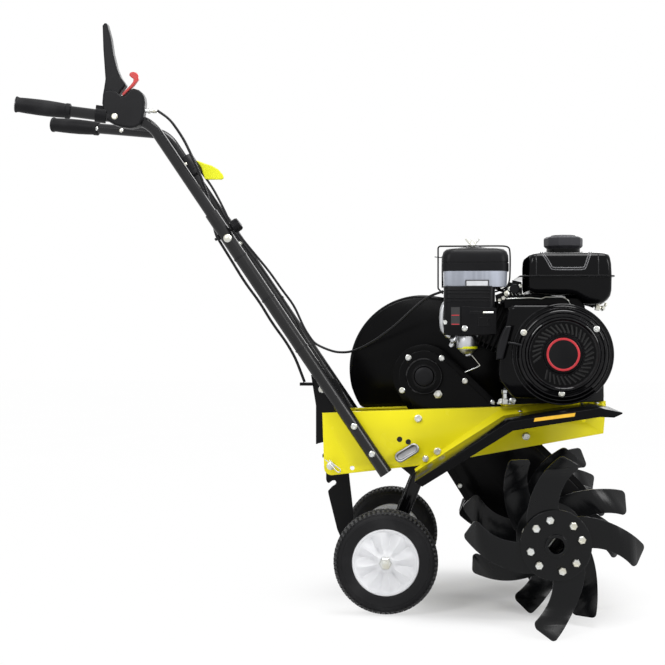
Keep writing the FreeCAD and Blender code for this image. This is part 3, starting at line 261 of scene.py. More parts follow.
def smoked_plastic(colour):
    """Milky band; upright light and dark streaks stand for what lies behind it."""
    s = Shade("smoked_plastic")
    spot = s.node("ShaderNodeMapping", {}, {0: s.place(), 3: (1.0, 1.0, 0.03)})
    streak = s.noise(46, 2, spot).ramp(0.36, 0.66)
    skin = s.blend(streak, tuple(c * 0.62 for c in colour), colour)
    return s.surface(skin, streak * 0.06 + 0.16, Coat_Weight=0.5, Coat_Roughness=0.08)


def plain_print(name, colour, roughness=0.4):
    """Printed film, slightly uneven."""
    s = Shade(name)
    drift = s.noise(80, 3).ramp(0.3, 0.8)
    skin = s.blend(drift, colour, tuple(min(1, c * 1.15 + 0.004) for c in colour))
    return s.surface(skin, drift * 0.08 + roughness)


FINISH = {}


def make_finishes(sizes):
    """Fills FINISH with every material."""
    FINISH.update({
        "lime": lime_paint(tuple(sizes.lime)),
        "black": black_enamel("black_paint", (0.0035, 0.0035, 0.004), 0.3, 500, 0.11),
        "tube": black_enamel("tube_paint", (0.007, 0.007, 0.0075), 0.25, 500, 0.3),
        "bar": black_enamel("bar_paint", (0.006, 0.006, 0.007), 0.16, 500, 0.34),
        "gloss_black": black_enamel("gloss_black", (0.0016, 0.0016, 0.002), 0.11, 260, 0.11),
        "rim_black": black_enamel("rim_black", (0.0012, 0.0012, 0.0016), 0.07, 200, 0.2),
        "tank_black": black_enamel("tank_black", (0.0016, 0.0016, 0.002), 0.15, 260, 0.12),
        "tank_end": black_enamel("tank_end", (0.0016, 0.0016, 0.002), 0.5, 260, 0.0),
        # light grey on the pressed lines is a painted highlight
        "pressed": black_enamel("pressed_line_highlight", (0.085, 0.085, 0.09), 0.2, 260, 0.5),
        "case_black": black_enamel("case_black", (0.0022, 0.0022, 0.0025), 0.2, 260, 0.07),
        "tine": black_enamel("tine_enamel", (0.0018, 0.002, 0.0024), 0.24, 300, 0.2, 0.1),
        "plastic": moulded_plastic("black_plastic", (0.0035, 0.0035, 0.0042), 0.34, sheen=0.1),
        "cap": moulded_plastic("cap_plastic", (0.026, 0.026, 0.030), 0.42),
        "lever": moulded_plastic("lever_plastic", (0.005, 0.005, 0.006), 0.38, 1400, 0.00012, sheen=0.14),
        "cable": moulded_plastic("cable_plastic", (0.006, 0.006, 0.007), 0.3, 600),
        "red": moulded_plastic("red_plastic", (0.5, 0.022, 0.02), 0.3, 500, 0.00004, 0.1, 0.5),
        "lime_plastic": moulded_plastic("lime_plastic", (0.72, 0.74, 0.008), 0.3, 500, 0.00004, 0.1, 0.4),
        "wheel": moulded_plastic("wheel_plastic", (0.69, 0.695, 0.71), 0.36, 700, 0.00004, 0.06, 0.5),
        "tyre": rubber("tyre_rubber", (0.007, 0.007, 0.0078), 0.45, 0.12),
        "tread": rubber("tread_rubber", (0.03, 0.03, 0.031), 0.5, 0.8),
        "grip": rubber("grip_rubber", (0.006, 0.006, 0.007), 0.5, 0.16),
        "smoke": smoked_plastic((0.40, 0.43, 0.50)),
        "cast_black": black_enamel("cast_black", (0.006, 0.006, 0.0065), 0.4, 160),
        "alloy": bare_metal("bright_alloy", (0.62, 0.63, 0.65), 0.3, 380, 0.0001),
        "zinc": bare_metal("zinc_plate", (0.70, 0.72, 0.72), 0.26, 700, 0.00004, (0.62, 0.60, 0.50)),
        "steel": bare_metal("worn_steel", (0.42, 0.42, 0.43), 0.34, 500, 0.00006),
        "label": plain_print("label_film", (0.75, 0.42, 0.02)),
        "red_print": plain_print("red_print", (0.44, 0.012, 0.02), 0.35),
        "dark_print": plain_print("dark_print", (0.012, 0.012, 0.013), 0.35),
        "pale_print": plain_print("pale_print", (0.55, 0.56, 0.58), 0.35),
        # near-black for the insides of holes and slots: painted shade
        "hole_shade": plain_print("painted_hole_shade", (0.002, 0.002, 0.002), 0.8),
    })


# --- mesh tools -----------------------------------------------------------------------------

def at(x, y, z):
    """Place in metres from millimetres."""
    return Vector((x, y, z)) * MM


def add_piece(name, bm, finish, body="chassis", bevel=0.0, angle=30, segments=2):
    """Turns a bmesh into a piece that rides on a body."""
    mesh = bpy.data.meshes.new(name)
    bmesh.ops.recalc_face_normals(bm, faces=bm.faces)
    bm.to_mesh(mesh)
    bm.free()
    for face in mesh.polygons:
        face.use_smooth = True
    piece = bpy.data.objects.new(name, mesh)
    bpy.context.scene.collection.objects.link(piece)
    if bevel:
        edge = piece.modifiers.new("edges", "BEVEL")
        edge.width = bevel * MM
        edge.segments = segments
        edge.limit_method = "ANGLE"
        edge.angle_limit = math.radians(angle)
        edge.harden_normals = True
    else:
        mesh.set_sharp_from_angle(angle=math.radians(angle))
    mesh.materials.append(FINISH[finish])
    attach(piece, body)
    return piece


def eased(node, finish, bevel, angle=30, reshape=None, corner=None):
    """A CAD body's shape with its edges broken; corner: x, z and radius of an upright edge to round."""
    bm = bmesh.new()
    bm.from_mesh(frame["nodes"][node].data)
    bmesh.ops.remove_doubles(bm, verts=bm.verts, dist=1e-6)
    bmesh.ops.dissolve_limit(bm, angle_limit=math.radians(0.6), verts=bm.verts, edges=bm.edges)
    if reshape:
        for vert in bm.verts:
            vert.co = reshape(vert.co / MM) * MM
    if corner:
        x, z, radius = corner
        sharp = [edge for edge in bm.edges if all(abs(v.co.x / MM - x) < 4 and abs(v.co.z / MM - z) < 4
            for v in edge.verts) and abs(edge.verts[0].co.y - edge.verts[1].co.y) > 1e-3]
        bmesh.ops.bevel(bm, geom=sharp, offset=radius * MM, segments=7, profile=0.5, affect="EDGES")
    piece = add_piece(f"{node}_eased", bm, finish, frame["nodes"][node]["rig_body"], bevel, angle)
    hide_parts(node)
    return piece


def prism(bm, points, near, far):
    """Outline in XZ between two places in Y, added to a bmesh."""
    front = [bm.verts.new(at(x, near, z)) for x, z in points]
    back = [bm.verts.new(at(x, far, z)) for x, z in points]
    bm.faces.new(front)
    bm.faces.new(reversed(back))
    count = len(points)
    for n in range(count):
        bm.faces.new((front[n], back[n], back[(n + 1) % count], front[(n + 1) % count]))


def rounded(xs, ys, radius, extra=0):
    """Outline in XY of a rectangle with round corners, with extra points along its X sides."""
    steps = 6
    radius = max(1, min(radius, (xs[1] - xs[0]) / 2 - 1, (ys[1] - ys[0]) / 2 - 1))
    points = []
    for cx, cy, quarter in ((xs[1] - radius, ys[1] - radius, 0), (xs[0] + radius, ys[1] - radius, 1),
            (xs[0] + radius, ys[0] + radius, 2), (xs[1] - radius, ys[0] + radius, 3)):
        for n in range(steps + 1):
            turn = math.pi / 2 * (quarter + n / steps)
            points.append((cx + radius * math.cos(turn), cy + radius * math.sin(turn)))
        if quarter in (0, 2):
            far = xs[0] + radius if quarter == 0 else xs[1] - radius
            level = ys[1] if quarter == 0 else ys[0]
            for n in range(1, extra + 1):
                points.append((cx + (far - cx) * n / (extra + 1), level))
    return points


def join(bm, rings):
    """Faces between each ring of vertices and the next; a ring of one vertex is a point."""
    for low, high in zip(rings, rings[1:]):
        count = max(len(low), len(high))
        for n in range(count if len(low) + len(high) > 2 else 0):
            m = (n + 1) % count
            if len(low) == 1:
                bm.faces.new((low[0], high[n], high[m]))
            elif len(high) == 1:
                bm.faces.new((low[n], low[m], high[0]))
            else:
                bm.faces.new((low[n], low[m], high[m], high[n]))


def skin(bm, rings):
    """Joins rings and closes both ends."""
    join(bm, rings)
    bm.faces.new(rings[-1])
    bm.faces.new(reversed(rings[0]))


def frame_of(spot, way):
    """Matrix that stands Z along a direction at a place in millimetres."""
    turn = Vector(way).normalized().to_track_quat("Z", "Y").to_matrix().to_4x4()
    return Matrix.Translation(at(*spot)) @ turn


def turned_ring(bm, place, radius, height, steps):
    """Ring of vertices round the Z of a matrix; one vertex where the radius is nothing."""
    if radius <= 0:
        return [bm.verts.new(place @ Vector((0, 0, height * MM)))]
    ring = []
    for n in range(steps):
        turn = 2 * math.pi * n / steps
        spot = Vector((radius * math.cos(turn), radius * math.sin(turn), height))
        ring.append(bm.verts.new(place @ (spot * MM)))
    return ring


def lathe(bm, profile, spot, way, steps=32, spin=0.0):
    """Turns (radius, height) points round an axis; open ends on the axis are closed."""
    place = frame_of(spot, way) @ Matrix.Rotation(spin, 4, "Z")
    rings = [turned_ring(bm, place, radius, height, steps) for radius, height in profile]
    join(bm, rings)
    return rings


def block(bm, size, spot, way):
    """Box of a size round a place, its Z along a direction."""
    grown = bmesh.ops.create_cube(bm, size=1.0)["verts"]
    shape = Matrix.Diagonal((*(Vector(size) * MM), 1))
    bmesh.ops.transform(bm, matrix=frame_of(spot, way) @ shape, verts=grown)


def hex_bolt(bm, spot, way, across, head=0.62, washer=1.25, spin=0.2):
    """Hexagon head with a chamfered top, a marked dish and a flange."""
    wide = across * washer / 2
    lathe(bm, [(0, 0), (wide, 0), (wide, 0.9), (across * 0.5, 1.4)], spot, way, 20)
    radius = across / 2 / math.cos(math.pi / 6)
    high = across * head
    profile = [(radius, 1.0), (radius, high * 0.82), (radius * 0.86, high), (radius * 0.5, high),
        (radius * 0.42, high * 0.9)]
    bm.faces.new(lathe(bm, profile, spot, way, 6, spin)[-1])


def dome_bolt(bm, spot, way, radius):
    """Low round head, as on a carriage bolt or a rivet."""
    rise = radius * 0.5
    profile = [(radius, 0), (radius, 0.5)]
    profile += [(radius * math.cos(a), 0.5 + rise * math.sin(a)) for a in (0.3, 0.7, 1.1)]
    lathe(bm, profile + [(0, 0.5 + rise)], spot, way, 24)


def hex_nut(bm, spot, way, across, stud=2.0):
    """Nut with the end of its stud showing."""
    radius = across / 2 / math.cos(math.pi / 6)
    high = across * 0.5
    lathe(bm, [(radius, 0), (radius, high * 0.85), (radius * 0.87, high), (across * 0.28, high)], spot,
        way, 6)
    tip = high + stud
    lathe(bm, [(across * 0.27, high - 1), (across * 0.27, tip), (across * 0.2, tip + 0.6), (0, tip + 0.6)],
        spot, way, 16)


def wire(name, points, radius, finish, body="chassis", smooth=False):
    """Round wire or hose through points."""
    data = bpy.data.curves.new(name, "CURVE")
    data.dimensions = "3D"
    data.bevel_depth = radius * MM
    data.bevel_resolution = 4
    data.resolution_u = 8
    data.use_fill_caps = True
    line = data.splines.new("NURBS" if smooth else "POLY")
    line.points.add(len(points) - 1)
    for point, spot in zip(line.points, points):
        point.co = (*at(*spot), 1)
    if smooth:
        line.order_u = 3
        line.use_endpoint_u = True
    data.materials.append(FINISH[finish])
    piece = bpy.data.objects.new(name, data)
    bpy.context.scene.collection.objects.link(piece)
    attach(piece, body)


def box_mm(node):
    """Low and high corners of a CAD body."""
    low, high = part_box(node)
    return [Vector(v) / MM for v in (low, high)]


def on_tube(side, reach):
    """Place on a handle tube's axis, so far up from its foot."""
    return Vector((135, side * TUBE_Y, 256.5)) + TUBE_WAY * reach


def middle(node):
    """Centre of a CAD body's box."""
    low, high = box_mm(node)
    return (low + high) / 2


def paint_node(node, finish):
    """Gives a CAD body its finish."""
    item = frame["nodes"][node]
    item.data.materials.clear()
    item.data.materials.append(FINISH[finish])


def turned(name, finish, profile, spot, way, steps=32, **kind):
    """A piece that is one turned shape."""
    bm = bmesh.new()
    lathe(bm, profile, spot, way, steps)
    return add_piece(name, bm, finish, **kind)


def cut_out(name, finish, points, near, far, **kind):
    """A piece that is one outline in XZ with a thickness."""
    bm = bmesh.new()
    prism(bm, points, near, far)
    return add_piece(name, bm, finish, **kind)


def rounded_stack(name, finish, low, high, levels, **kind):
    """A piece of rounded outlines, each with its inset from the box, height and corner radius."""
    bm = bmesh.new()
    rings = []
    for inset, z, radius in levels:
        outline = rounded((low.x + inset, high.x - inset), (low.y + inset, high.y - inset), radius)
        rings.append([bm.verts.new(at(x, y, z)) for x, y in outline])
    skin(bm, rings)
    return add_piece(name, bm, finish, **kind)


def oblong(x1, z1, x2, z2):
    """Outline of a rectangle in XZ."""
    return [(x1, z1), (x2, z1), (x2, z2), (x1, z2)]


# --- frame, fenders and chain case ----------------------------------------------------------

def plate_corner(spot):
    """Rear lower corner hangs a little deeper, the belly rises"""
    if spot.z < 285 and spot.x < 200:
        spot.z -= 11 - 5 * max(0, spot.x) / 200
        if spot.x < 20:
            spot.x += 4
    if abs(spot.x - 295.5) < 6 and spot.z < 285:
        spot.z += 15
    return spot


def belt_round(spot):
    """Cover drawn out a little round its shaft"""
    spot.x = 206 + (spot.x - 206) * 1.035
    if spot.z > 420:
        spot.z = 460 + (spot.z - 460) * 1.045
    return spot


def add_folds():
    """Bend between each side plate and its outward flange"""
    fold = bmesh.new()
    line = ((194, 259), (367, 370), (532, 396), (566, 389.5))
    for side in (-1, 1):
        rings = []
        for n, (x, z) in enumerate(line):
            lift = (6, 15, 11, 8)[n]
            section = ((0, 74.5, -1), (-lift * 0.45, 74.5, lift), (-lift * 0.42, 76.2, lift - 1),
                (-1, 87, 2.4), (0, 88.5, 0), (0, 88.5, -1))
            rings.append([fold.verts.new(at(x + a, side * y, z + b)) for a, y, b in section])
        skin(fold, rings)
    add_piece("plate_folds", fold, "lime", angle=40)


def add_chain_fittings():
    """Flange and fixing bolts, filler plug, and the rings round the upper bearing"""
    bolts = bmesh.new()
    spots = ((322, 372), (360, 290), (454.6, 263), (536, 202), (548, 120), (470, 58), (385, 78),
        (340, 150), (279.3, 221.6), (236, 320))
    top = Vector((DRIVE_X, DRIVE_Z))
    low = Vector((ROTOR_X, ROTOR_Z))
    lean = low - top
    for x, z in spots:
        spot = Vector((x, z))
        along = max(0, min(1, (spot - top).dot(lean) / lean.length_squared))
        foot = top + lean * along
        ring = 64 - 6.5 + along * (110 - 64)
        spot = foot + (spot - foot).normalized() * ring
        for side in (-1, 1):
            hex_bolt(bolts, (spot.x, side * 3, spot.y), (0, side, 0), 8, spin=x)
    for x, z in ((178.2, 485.6), (245.8, 484.5), (292.4, 438.6), (165.5, 419.3)):
        for side in (-1, 1):
            block(bolts, (6, 6, 1), (x, side * 34, z), (0, side, 0))
            hex_bolt(bolts, (x, side * 35, z), (0, side, 0), 9.5, spin=x)
    add_piece("chain_case_bolts", bolts, "zinc")
    turned("filler_plug", "zinc", [(0, 0), (9, 0), (9, 3), (6, 4), (6, 9), (5, 10), (0, 10)],
        (238, -35, 411.6), NEAR, 6, bevel=0.5)
    seam = bmesh.new()
    for side in (-1, 1):
        lathe(seam, [(22, 0), (24.5, 0), (24.5, 1.6), (22, 1.6), (22, 0)], (DRIVE_X, side * 43.0, DRIVE_Z),
            (0, side, 0), 40)
    add_piece("cap_ring", seam, "gloss_black")
    cap = box_mm("bearing_cap")[0].y
    turned("dust_cap", "lever", [(0, 1.4), (9, 1.2), (15, 0.6), (18.2, -0.6), (18.6, -2)],
        (DRIVE_X, cap, DRIVE_Z), NEAR, 48)
    collar = bmesh.new()
    for profile in ([(33, 0), (34, 1.3), (35.4, 1.3), (36.8, -0.6)],
            [(20, 0), (21, 0.8), (22.4, 0.8), (23.4, 0)]):
        lathe(collar, profile, (DRIVE_X, cap + 12, DRIVE_Z), NEAR, 64)
    add_piece("bearing_collar", collar, "rim_black")


def add_belt_screws():
    """Screws on the belt cover's rim"""
    high = box_mm("belt_cover")[1]
    screws = bmesh.new()
    for x, z in ((96, 470), (140, 560), (270, 575), (330, 500)):
        dome_bolt(screws, (x, high.y, z), FAR, 5)
    add_piece("belt_cover_screws", screws, "zinc")


def add_labels():
    """Blank warning strips on the fenders"""
    print_bm = bmesh.new()
    for name, side in SIDES:
        low, high = box_mm(f"fender_{name}")
        edge = low.y if side < 0 else high.y
        prism(print_bm, [(412, 373), (486, 383), (488, 389.6), (414, 379.6)], edge, edge + side * 0.25)
    add_piece("fender_labels", print_bm, "label")


def add_hitch_pin():
    """Clevis pin through the stake with its spring clip"""
    turned("stake_pin", "zinc", [(0, -9), (5, -8.6), (8.2, -7), (8.2, -4), (3.9, -4), (3.9, 158),
        (3.2, 160), (0, 160)], (25, -84, 271), FAR, 20, bevel=0.4)
    loop = [(-11, 13), (-5, 9), (2, 1), (9, -7), (14, -12), (19, -12), (20, -7), (16, -3), (9, 1), (3, 7),
        (-3, 12)]
    wire("stake_clip", [(25 + x, -93.5, 271 + z) for x, z in loop], 1.2, "zinc", smooth=True)


class TILLER_OT_frame(bpy.types.Operator):
    """Dress the side plates, fenders, chain case and belt cover"""
    bl_idname = "tiller.frame"
    bl_label = "Frame"

    def execute(self, context):
        for name, side in SIDES:
            eased(f"frame_plate_{name}", "lime", 0.9, reshape=plate_corner, corner=(11, 249, 17))
            eased(f"fender_{name}", "case_black", 0.9)
            eased(f"chain_case_{name}", "case_black", 2.5)
        eased("belt_cover", "case_black", 7, angle=40, reshape=belt_round)
        eased("bearing_cap", "case_black", 3)
        add_folds()
        eased("engine_deck", "lime", 0.9)
        paint_node("rear_crossmember", "black")
        paint_node("stand_pivot_pin", "zinc")
        bolts = bmesh.new()
        for side in (-1, 1):
            way = (0, side, 0)
            for x, z, across in ((198.6, 365.2, 12), (237, 299.6, 12), (265.3, 306.2, 8), (411.7, 330.7, 12)):
                hex_bolt(bolts, (x, side * PLATE_Y, z), way, across, spin=x)
            pin = middle("stand_pivot_pin")
            hex_nut(bolts, (pin.x, side * 83, pin.z), way, 11)
            for x, z in ((399.2, 380.6), (520.3, 395.6), (549, 397.5)):
                dome_bolt(bolts, (x, side * 86, z), UP, 4.5)
            tube = box_mm("lower_tube_left")[1].y
            for x, z in ((72.1, 350.5), (107.7, 295.9)):
                hex_bolt(bolts, (x, side * tube, z), way, 10, spin=z)
        add_piece("frame_bolts", bolts, "zinc")
        # near-black discs in the side plates stand for the holes: painted shade
        hole_shades = bmesh.new()
        for side in (-1, 1):
            for x, z in ((161.5, 323.6), (178.8, 318.5)):
                lathe(hole_shades, [(0, -0.2), (5.4, -0.2), (5.4, 0.35), (4.7, 0.5), (4.2, 0.1), (0, 0)],
                    (x, side * PLATE_Y, z), (0, side, 0), 28)
        add_piece("plate_hole_shades", hole_shades, "hole_shade")
        add_chain_fittings()
        add_belt_screws()
        add_labels()
        add_hitch_pin()
        return {"FINISHED"}


# --- engine ---------------------------------------------------------------------------------

COVER_SLOTS = 36
SLOT_RING = 50
SLOT_BREAK = (3.4, 3.9)


def slanted_bars(name, finish, centre, size, shift, depth, **kind):
    """Ring of short slanted bars on the recoil cover, with a gap low at the rear"""
    bars = bmesh.new()
    for n in range(COVER_SLOTS):
        turn = 2 * math.pi * n / COVER_SLOTS
        if SLOT_BREAK[0] < turn < SLOT_BREAK[1]:
            continue
        lean = turn + 0.5
        across = Vector((-math.sin(lean), math.cos(lean)))
        a = Vector((math.cos(lean), math.sin(lean))) * size[0]
        b = across * size[1]
        spot = Vector((centre[0] + SLOT_RING * math.cos(turn), centre[1] + SLOT_RING * math.sin(turn)))
        spot += across * shift
        prism(bars, [tuple(c) for c in (spot - a - b, spot + a - b, spot + a + b, spot - a + b)], *depth)
    add_piece(name, bars, finish, **kind)


def add_starter():
    """Recoil cover: stepped rims, slanted slots with their insides painted near-black as painted shade, blank
    hub disc with a red ring
    """
    low, high = box_mm("recoil_cover")
    x, z = middle("recoil_cover").x, middle("recoil_cover").z
    face = low.y
    deep = high.y - face
    rim = ((63, 6), (63, 3.6), (64.5, 3.4), (66.4, 1.8), (67.6, 0.4), (69, 0), (70.4, 0.6), (71.6, 2.4),
        (73, 4.6), (77.6, 5.4), (79, 4.4), (80, 3.2), (81.4, 2.8), (83, 3.4), (84.6, 5), (86, 7.6),
        (86, deep))
    hub = ((0, 0), (35, 0), (36.6, 0.6), (38.5, 3), (60, 3.6), (63.4, 3.6), (63.4, 6))
    piece = turned("recoil_cover_shell", "rim_black", [(radius, deep - down) for radius, down in rim],
        (x, high.y, z), NEAR, 120)
    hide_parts("recoil_cover")
    turned("recoil_dish", "case_black", [(radius, deep - down) for radius, down in hub], (x, high.y, z),
        NEAR, 96)
    ribs = bmesh.new()
    for start, stop in ((0.5, 1.12), (2.25, 2.75)):
        for n in range(12):
            turn = start + (stop - start) * n / 11
            way = Vector((math.cos(turn), 0, math.sin(turn)))
            block(ribs, (0.9, 1.5, 8.5), Vector((x, face + 4.4, z)) + way * 75.4, way)
    add_piece("recoil_ribs", ribs, "rim_black", bevel=0.25)
    # near-black bars behind the louvres: painted shade in the slots
    slanted_bars("recoil_slot_shades", "hole_shade", (x, z), (9.5, 1.5), 0, (face + 2.9, face + 3.6))
    slanted_bars("recoil_louvres", "case_black", (x, z), (10, 0.6), 2.6, (face + 1.6, face + 3.6), bevel=0.4)
    turned("starter_ring", "red_print", [(27.6, 0), (27.6, 0.8), (28.2, 1.1), (31.2, 1.1), (31.8, 0.8),
        (31.8, 0)], (x, face, z), NEAR, 72)
    turned("starter_disc", "plastic", [(27.6, 0), (27.6, 0.4), (0, 0.4)], (x, face, z), NEAR, 72)
    rims = bmesh.new()
    near = box_mm("fan_housing")[0].y
    for radius, high in ((88.4, 2.2), (95.5, 1.8)):
        profile = ((-2, 0), (-1.6, high * 0.6), (-0.7, high), (0.7, high), (1.6, high * 0.6), (2, 0))
        lathe(rims, [(radius + off, level) for off, level in profile], (x, near, z), NEAR, 120)
    add_piece("cowl_rim", rims, "rim_black")
    bolts = bmesh.new()
    for bx, bz in ((401, 536.5), (539.3, 543.2), (473.3, 418.9)):
        hex_bolt(bolts, (bx, face + 3.6, bz), NEAR, 8.5, washer=1.4, spin=bx)
    add_piece("starter_bolts", bolts, "zinc")
    grip = middle("starter_grip")
    wire("starter_rope", [(grip.x + 8, near - 8, grip.z), (grip.x + 22, near - 9, grip.z - 1),
        (grip.x + 34, near - 7, grip.z - 5)], 2.4, "cable", smooth=True)


def add_head():
    """Bolts, spark plug and joint faces on the inclined head"""
    tilt = math.radians(25)
    up = Vector((-math.cos(tilt), 0, math.sin(tilt)))
    over = Vector((math.sin(tilt), 0, math.cos(tilt)))
    crank = Vector((CRANK_X, 0, CRANK_Z))
    face = crank + up * 214
    joint = bmesh.new()
    for reach, wide, high, thick in ((159.5, 102, 90, 3), (188, 86, 86, 4)):
        block(joint, (wide, high, thick), crank + up * reach, up)
    add_piece("head_joints", joint, "alloy", bevel=0.8)
    bolts = bmesh.new()
    for across, above in ((-30, 34), (30, 34), (-30, -34), (30, -34)):
        spot = face + over * above + Vector((0, across, 0))
        hex_bolt(bolts, spot, up, 10)
    add_piece("head_bolts", bolts, "zinc")
    plug = bmesh.new()
    start = face + over * 8
    lathe(plug, [(10, 0), (10, 3), (7, 4), (7, 12), (9, 14), (9, 30), (7.5, 33), (0, 34)], start, up, 24)
    add_piece("plug_cap", plug, "cable")
    wire("plug_lead", [start + up * 26, start + up * 30 + over * 14, start + up * 12 + over * 44,
        start - up * 30 + over * 62 + Vector((0, -8, 0)),
        start - up * 70 + over * 60 + Vector((0, -30, 0))], 3.2, "cable", smooth=True)


def add_linkage():
    """Choke and governor rods, springs and levers between carburettor and tank"""
    wire("governor_rod", [(372, -96, 602.6), (420, -97, 604.5), (440, -97, 602.5), (448, -97, 606),
        (482, -96, 605.5), (492, -96, 600), (497, -94, 590)], 1.5, "zinc")
    wire("governor_spring", [(366 + n * 2.1, -92 + 3 * math.cos(n * 1.9),
        612 + 3 * math.sin(n * 1.9)) for n in range(22)], 0.8, "zinc")
    plates = bmesh.new()
    prism(plates, [(352, 596), (372, 596), (380, 608), (386, 634), (376, 636), (366, 616), (350, 610)],
        -91, -89)
    prism(plates, [(330, 629), (356, 632), (362, 626), (352, 621), (334, 622)], -104, -102)
    prism(plates, [(384, 640), (402, 636), (404, 610), (392, 604), (382, 618)], -85, -83)
    add_piece("control_plates", plates, "black", bevel=0.6)
    bright = bmesh.new()
    for x, z, y, across in ((366, 604, -91, 7), (378, 622, -91, 7), (345, 626, -104, 6),
            (392, 612, -85, 8), (358, 600, -91, 6), (400, 628, -85, 7)):
        hex_bolt(bright, (x, y, z), NEAR, across, spin=x)
    lathe(bright, [(0, 0), (5, 0), (5, 8), (3, 9), (3, 15), (0, 15)], (372, -100, 612), (0, -1, 0.2), 18)
    lathe(bright, [(0, 0), (4, 0), (4, 16), (0, 16)], (334, -104, 624), (1, -0.3, 0.1), 16)
    add_piece("control_screws", bright, "zinc", bevel=0.2)
    turned("control_knob", "plastic", [(0, 0), (10, 0), (10, 9), (8.5, 10.5), (0, 10.5)], (388, -88, 622),
        NEAR, 24, bevel=0.8)


def add_muffler_guard():
    """Louvred guard over the silencer with its screws"""
    low, high = box_mm("muffler")
    guard = bmesh.new()
    for n in range(7):
        x = low.x + 16 + n * 14.5
        block(guard, (8, (high.y - low.y) * 0.62, 1.6), (x, (low.y + high.y) / 2, high.z + 0.4),
            (0.12, 0, 1))
    for n in range(6):
        z = low.z + 12 + n * 7
        block(guard, (70, 3, 1.5), ((low.x + high.x) / 2, high.y + 0.3, z), (0, 0.9, 0.3))
    add_piece("muffler_louvres", guard, "black", bevel=0.4)
    bolts = bmesh.new()
    for x in (low.x + 10, high.x - 10):
        for y in (low.y + 22, high.y - 22):
            hex_bolt(bolts, (x, y, high.z), UP, 8)
    add_piece("muffler_screws", bolts, "steel")


def add_shrouds():
    """Tank bracket, oil fillers, drain fitting and crankcase cover bolts"""
    cut_out("tank_bracket", "case_black", [(368, 583), (398, 583), (402, 590), (505, 590), (518, 582),
        (526, 586), (516, 604), (430, 608), (400, 611), (384, 618), (366, 612)], -92, 40, bevel=2)
    fitting = bmesh.new()
    lathe(fitting, [(0, 0), (9, 0), (9, 9), (6, 10), (6, 20), (7.5, 21), (7.5, 27), (3, 28), (0, 32)],
        (369, -96, 396.5), UP, 6)
    hex_bolt(fitting, (361, -99, 401), (-0.3, -1, 0), 9)
    hex_bolt(fitting, (383, -99, 403), (0.3, -1, 0), 11)
    block(fitting, (34, 12, 4), (371, -92, 397.5), UP)
    add_piece("drain_fitting", fitting, "zinc", bevel=0.4)
    shut = bmesh.new()
    for side, face in ((-1, -88), (1, 60)):
        for x, z in ((452, 423), (520, 423)):
            lathe(shut, [(0, 0), (13, 0), (13, 5), (11, 6), (11, 16), (9, 18), (0, 18)],
                (x, side * abs(face), z), (0.05, side, 0.25), 20)
    add_piece("oil_fillers", shut, "plastic", bevel=0.8)
    bolts = bmesh.new()
    for n in range(6):
        turn = 0.5 + n * math.pi / 3
        hex_bolt(bolts, (CRANK_X + 56 * math.cos(turn), 60, 494 + 56 * math.sin(turn)), FAR, 10)
    for y in (-30, 20):
        hex_bolt(bolts, (562, y, 412), (1, 0, 0), 12)
    for x in (402, 545):
        for y in (-62, 40):
            hex_bolt(bolts, (x, y, 398.5 + (x - 470) * 0.037), UP, 13)
    add_piece("crankcase_bolts", bolts, "zinc")


class TILLER_OT_engine(bpy.types.Operator):
    """Dress the crankcase, cylinder, cowl, starter, muffler and their fittings"""
    bl_idname = "tiller.engine"
    bl_label = "Engine"

    def execute(self, context):
        eased("crankcase", "cast_black", 3)
        eased("cylinder", "cast_black", 0.6)
        eased("rocker_cover", "cast_black", 3)
        eased("fan_housing", "gloss_black", 9, angle=40)
        eased("muffler", "black", 4)
        eased("starter_grip", "lever", 3)
        eased("carburettor", "alloy", 2)
        add_starter()
        add_head()
        add_linkage()
        add_muffler_guard()
        add_shrouds()
        return {"FINISHED"}


def floor_level(x):
    """Underside: shallow at the rear, deep over the tap"""
    line = [(390, 613), (428, 611), (500, 609.5), (508, 606), (521, 594), (530, 591.5), (556, 591),
        (570, 599), (585, 606)]
    for (x1, z1), (x2, z2) in zip(line, line[1:]):
        if x <= x2:
            return z1 + (z2 - z1) * (x - x1) / (x2 - x1)
    return line[-1][1]


def tank_half(name, low, high, levels, reach):
    """One pressed half, from the seam to its crowned end; its rear wall is matt"""
    bm = bmesh.new()
    rings = []
    for rear, front, side, share, radius in levels:
        ring = []
        for x, y in rounded((low.x + rear, high.x - front), (low.y + side, high.y - side), radius, 14):
            ring.append(bm.verts.new(at(x, y, TANK_SEAM + (reach(x) - TANK_SEAM) * share)))
        rings.append(ring)
    skin(bm, rings)
    piece = add_piece(name, bm, "tank_black", angle=42)
    piece.data.materials.append(FINISH["tank_end"])
    for face in piece.data.polygons:
        if face.normal.x < -0.8:
            face.material_index = 1


def add_swages(low):
    """Raised lines pressed into the near wall; the lines are painted light grey, a painted highlight on their
    ridges
    """
    y = low.y + 8.2
    for n, step in enumerate((0, 4)):
        points = [(437 + step, y + 14.6, 692.6), (440 + step, y + 4.2, 688), (445 + step, y + 0.9, 681),
            (455.5 + step * 0.6, y, 661 + step), (460, y, 658 + step), (519, y, 658 + step),
            (523.5 - step * 0.6, y, 661 + step), (530 - step, y + 0.9, 681), (533 - step, y + 4.2, 688),
            (535.3 - step, y + 14.6, 692.6)]
        wire(f"tank_swage_{n}", points, 1.2, "pressed", smooth=True)
    for n, x in enumerate((428, 547.5)):
        wire(f"tank_rib_{n}", [(x, y + 4.2, 688), (x, y + 0.9, 680), (x, y + 0.2, 664), (x, y - 0.2, 649)],
            1.2, "bar", smooth=True)


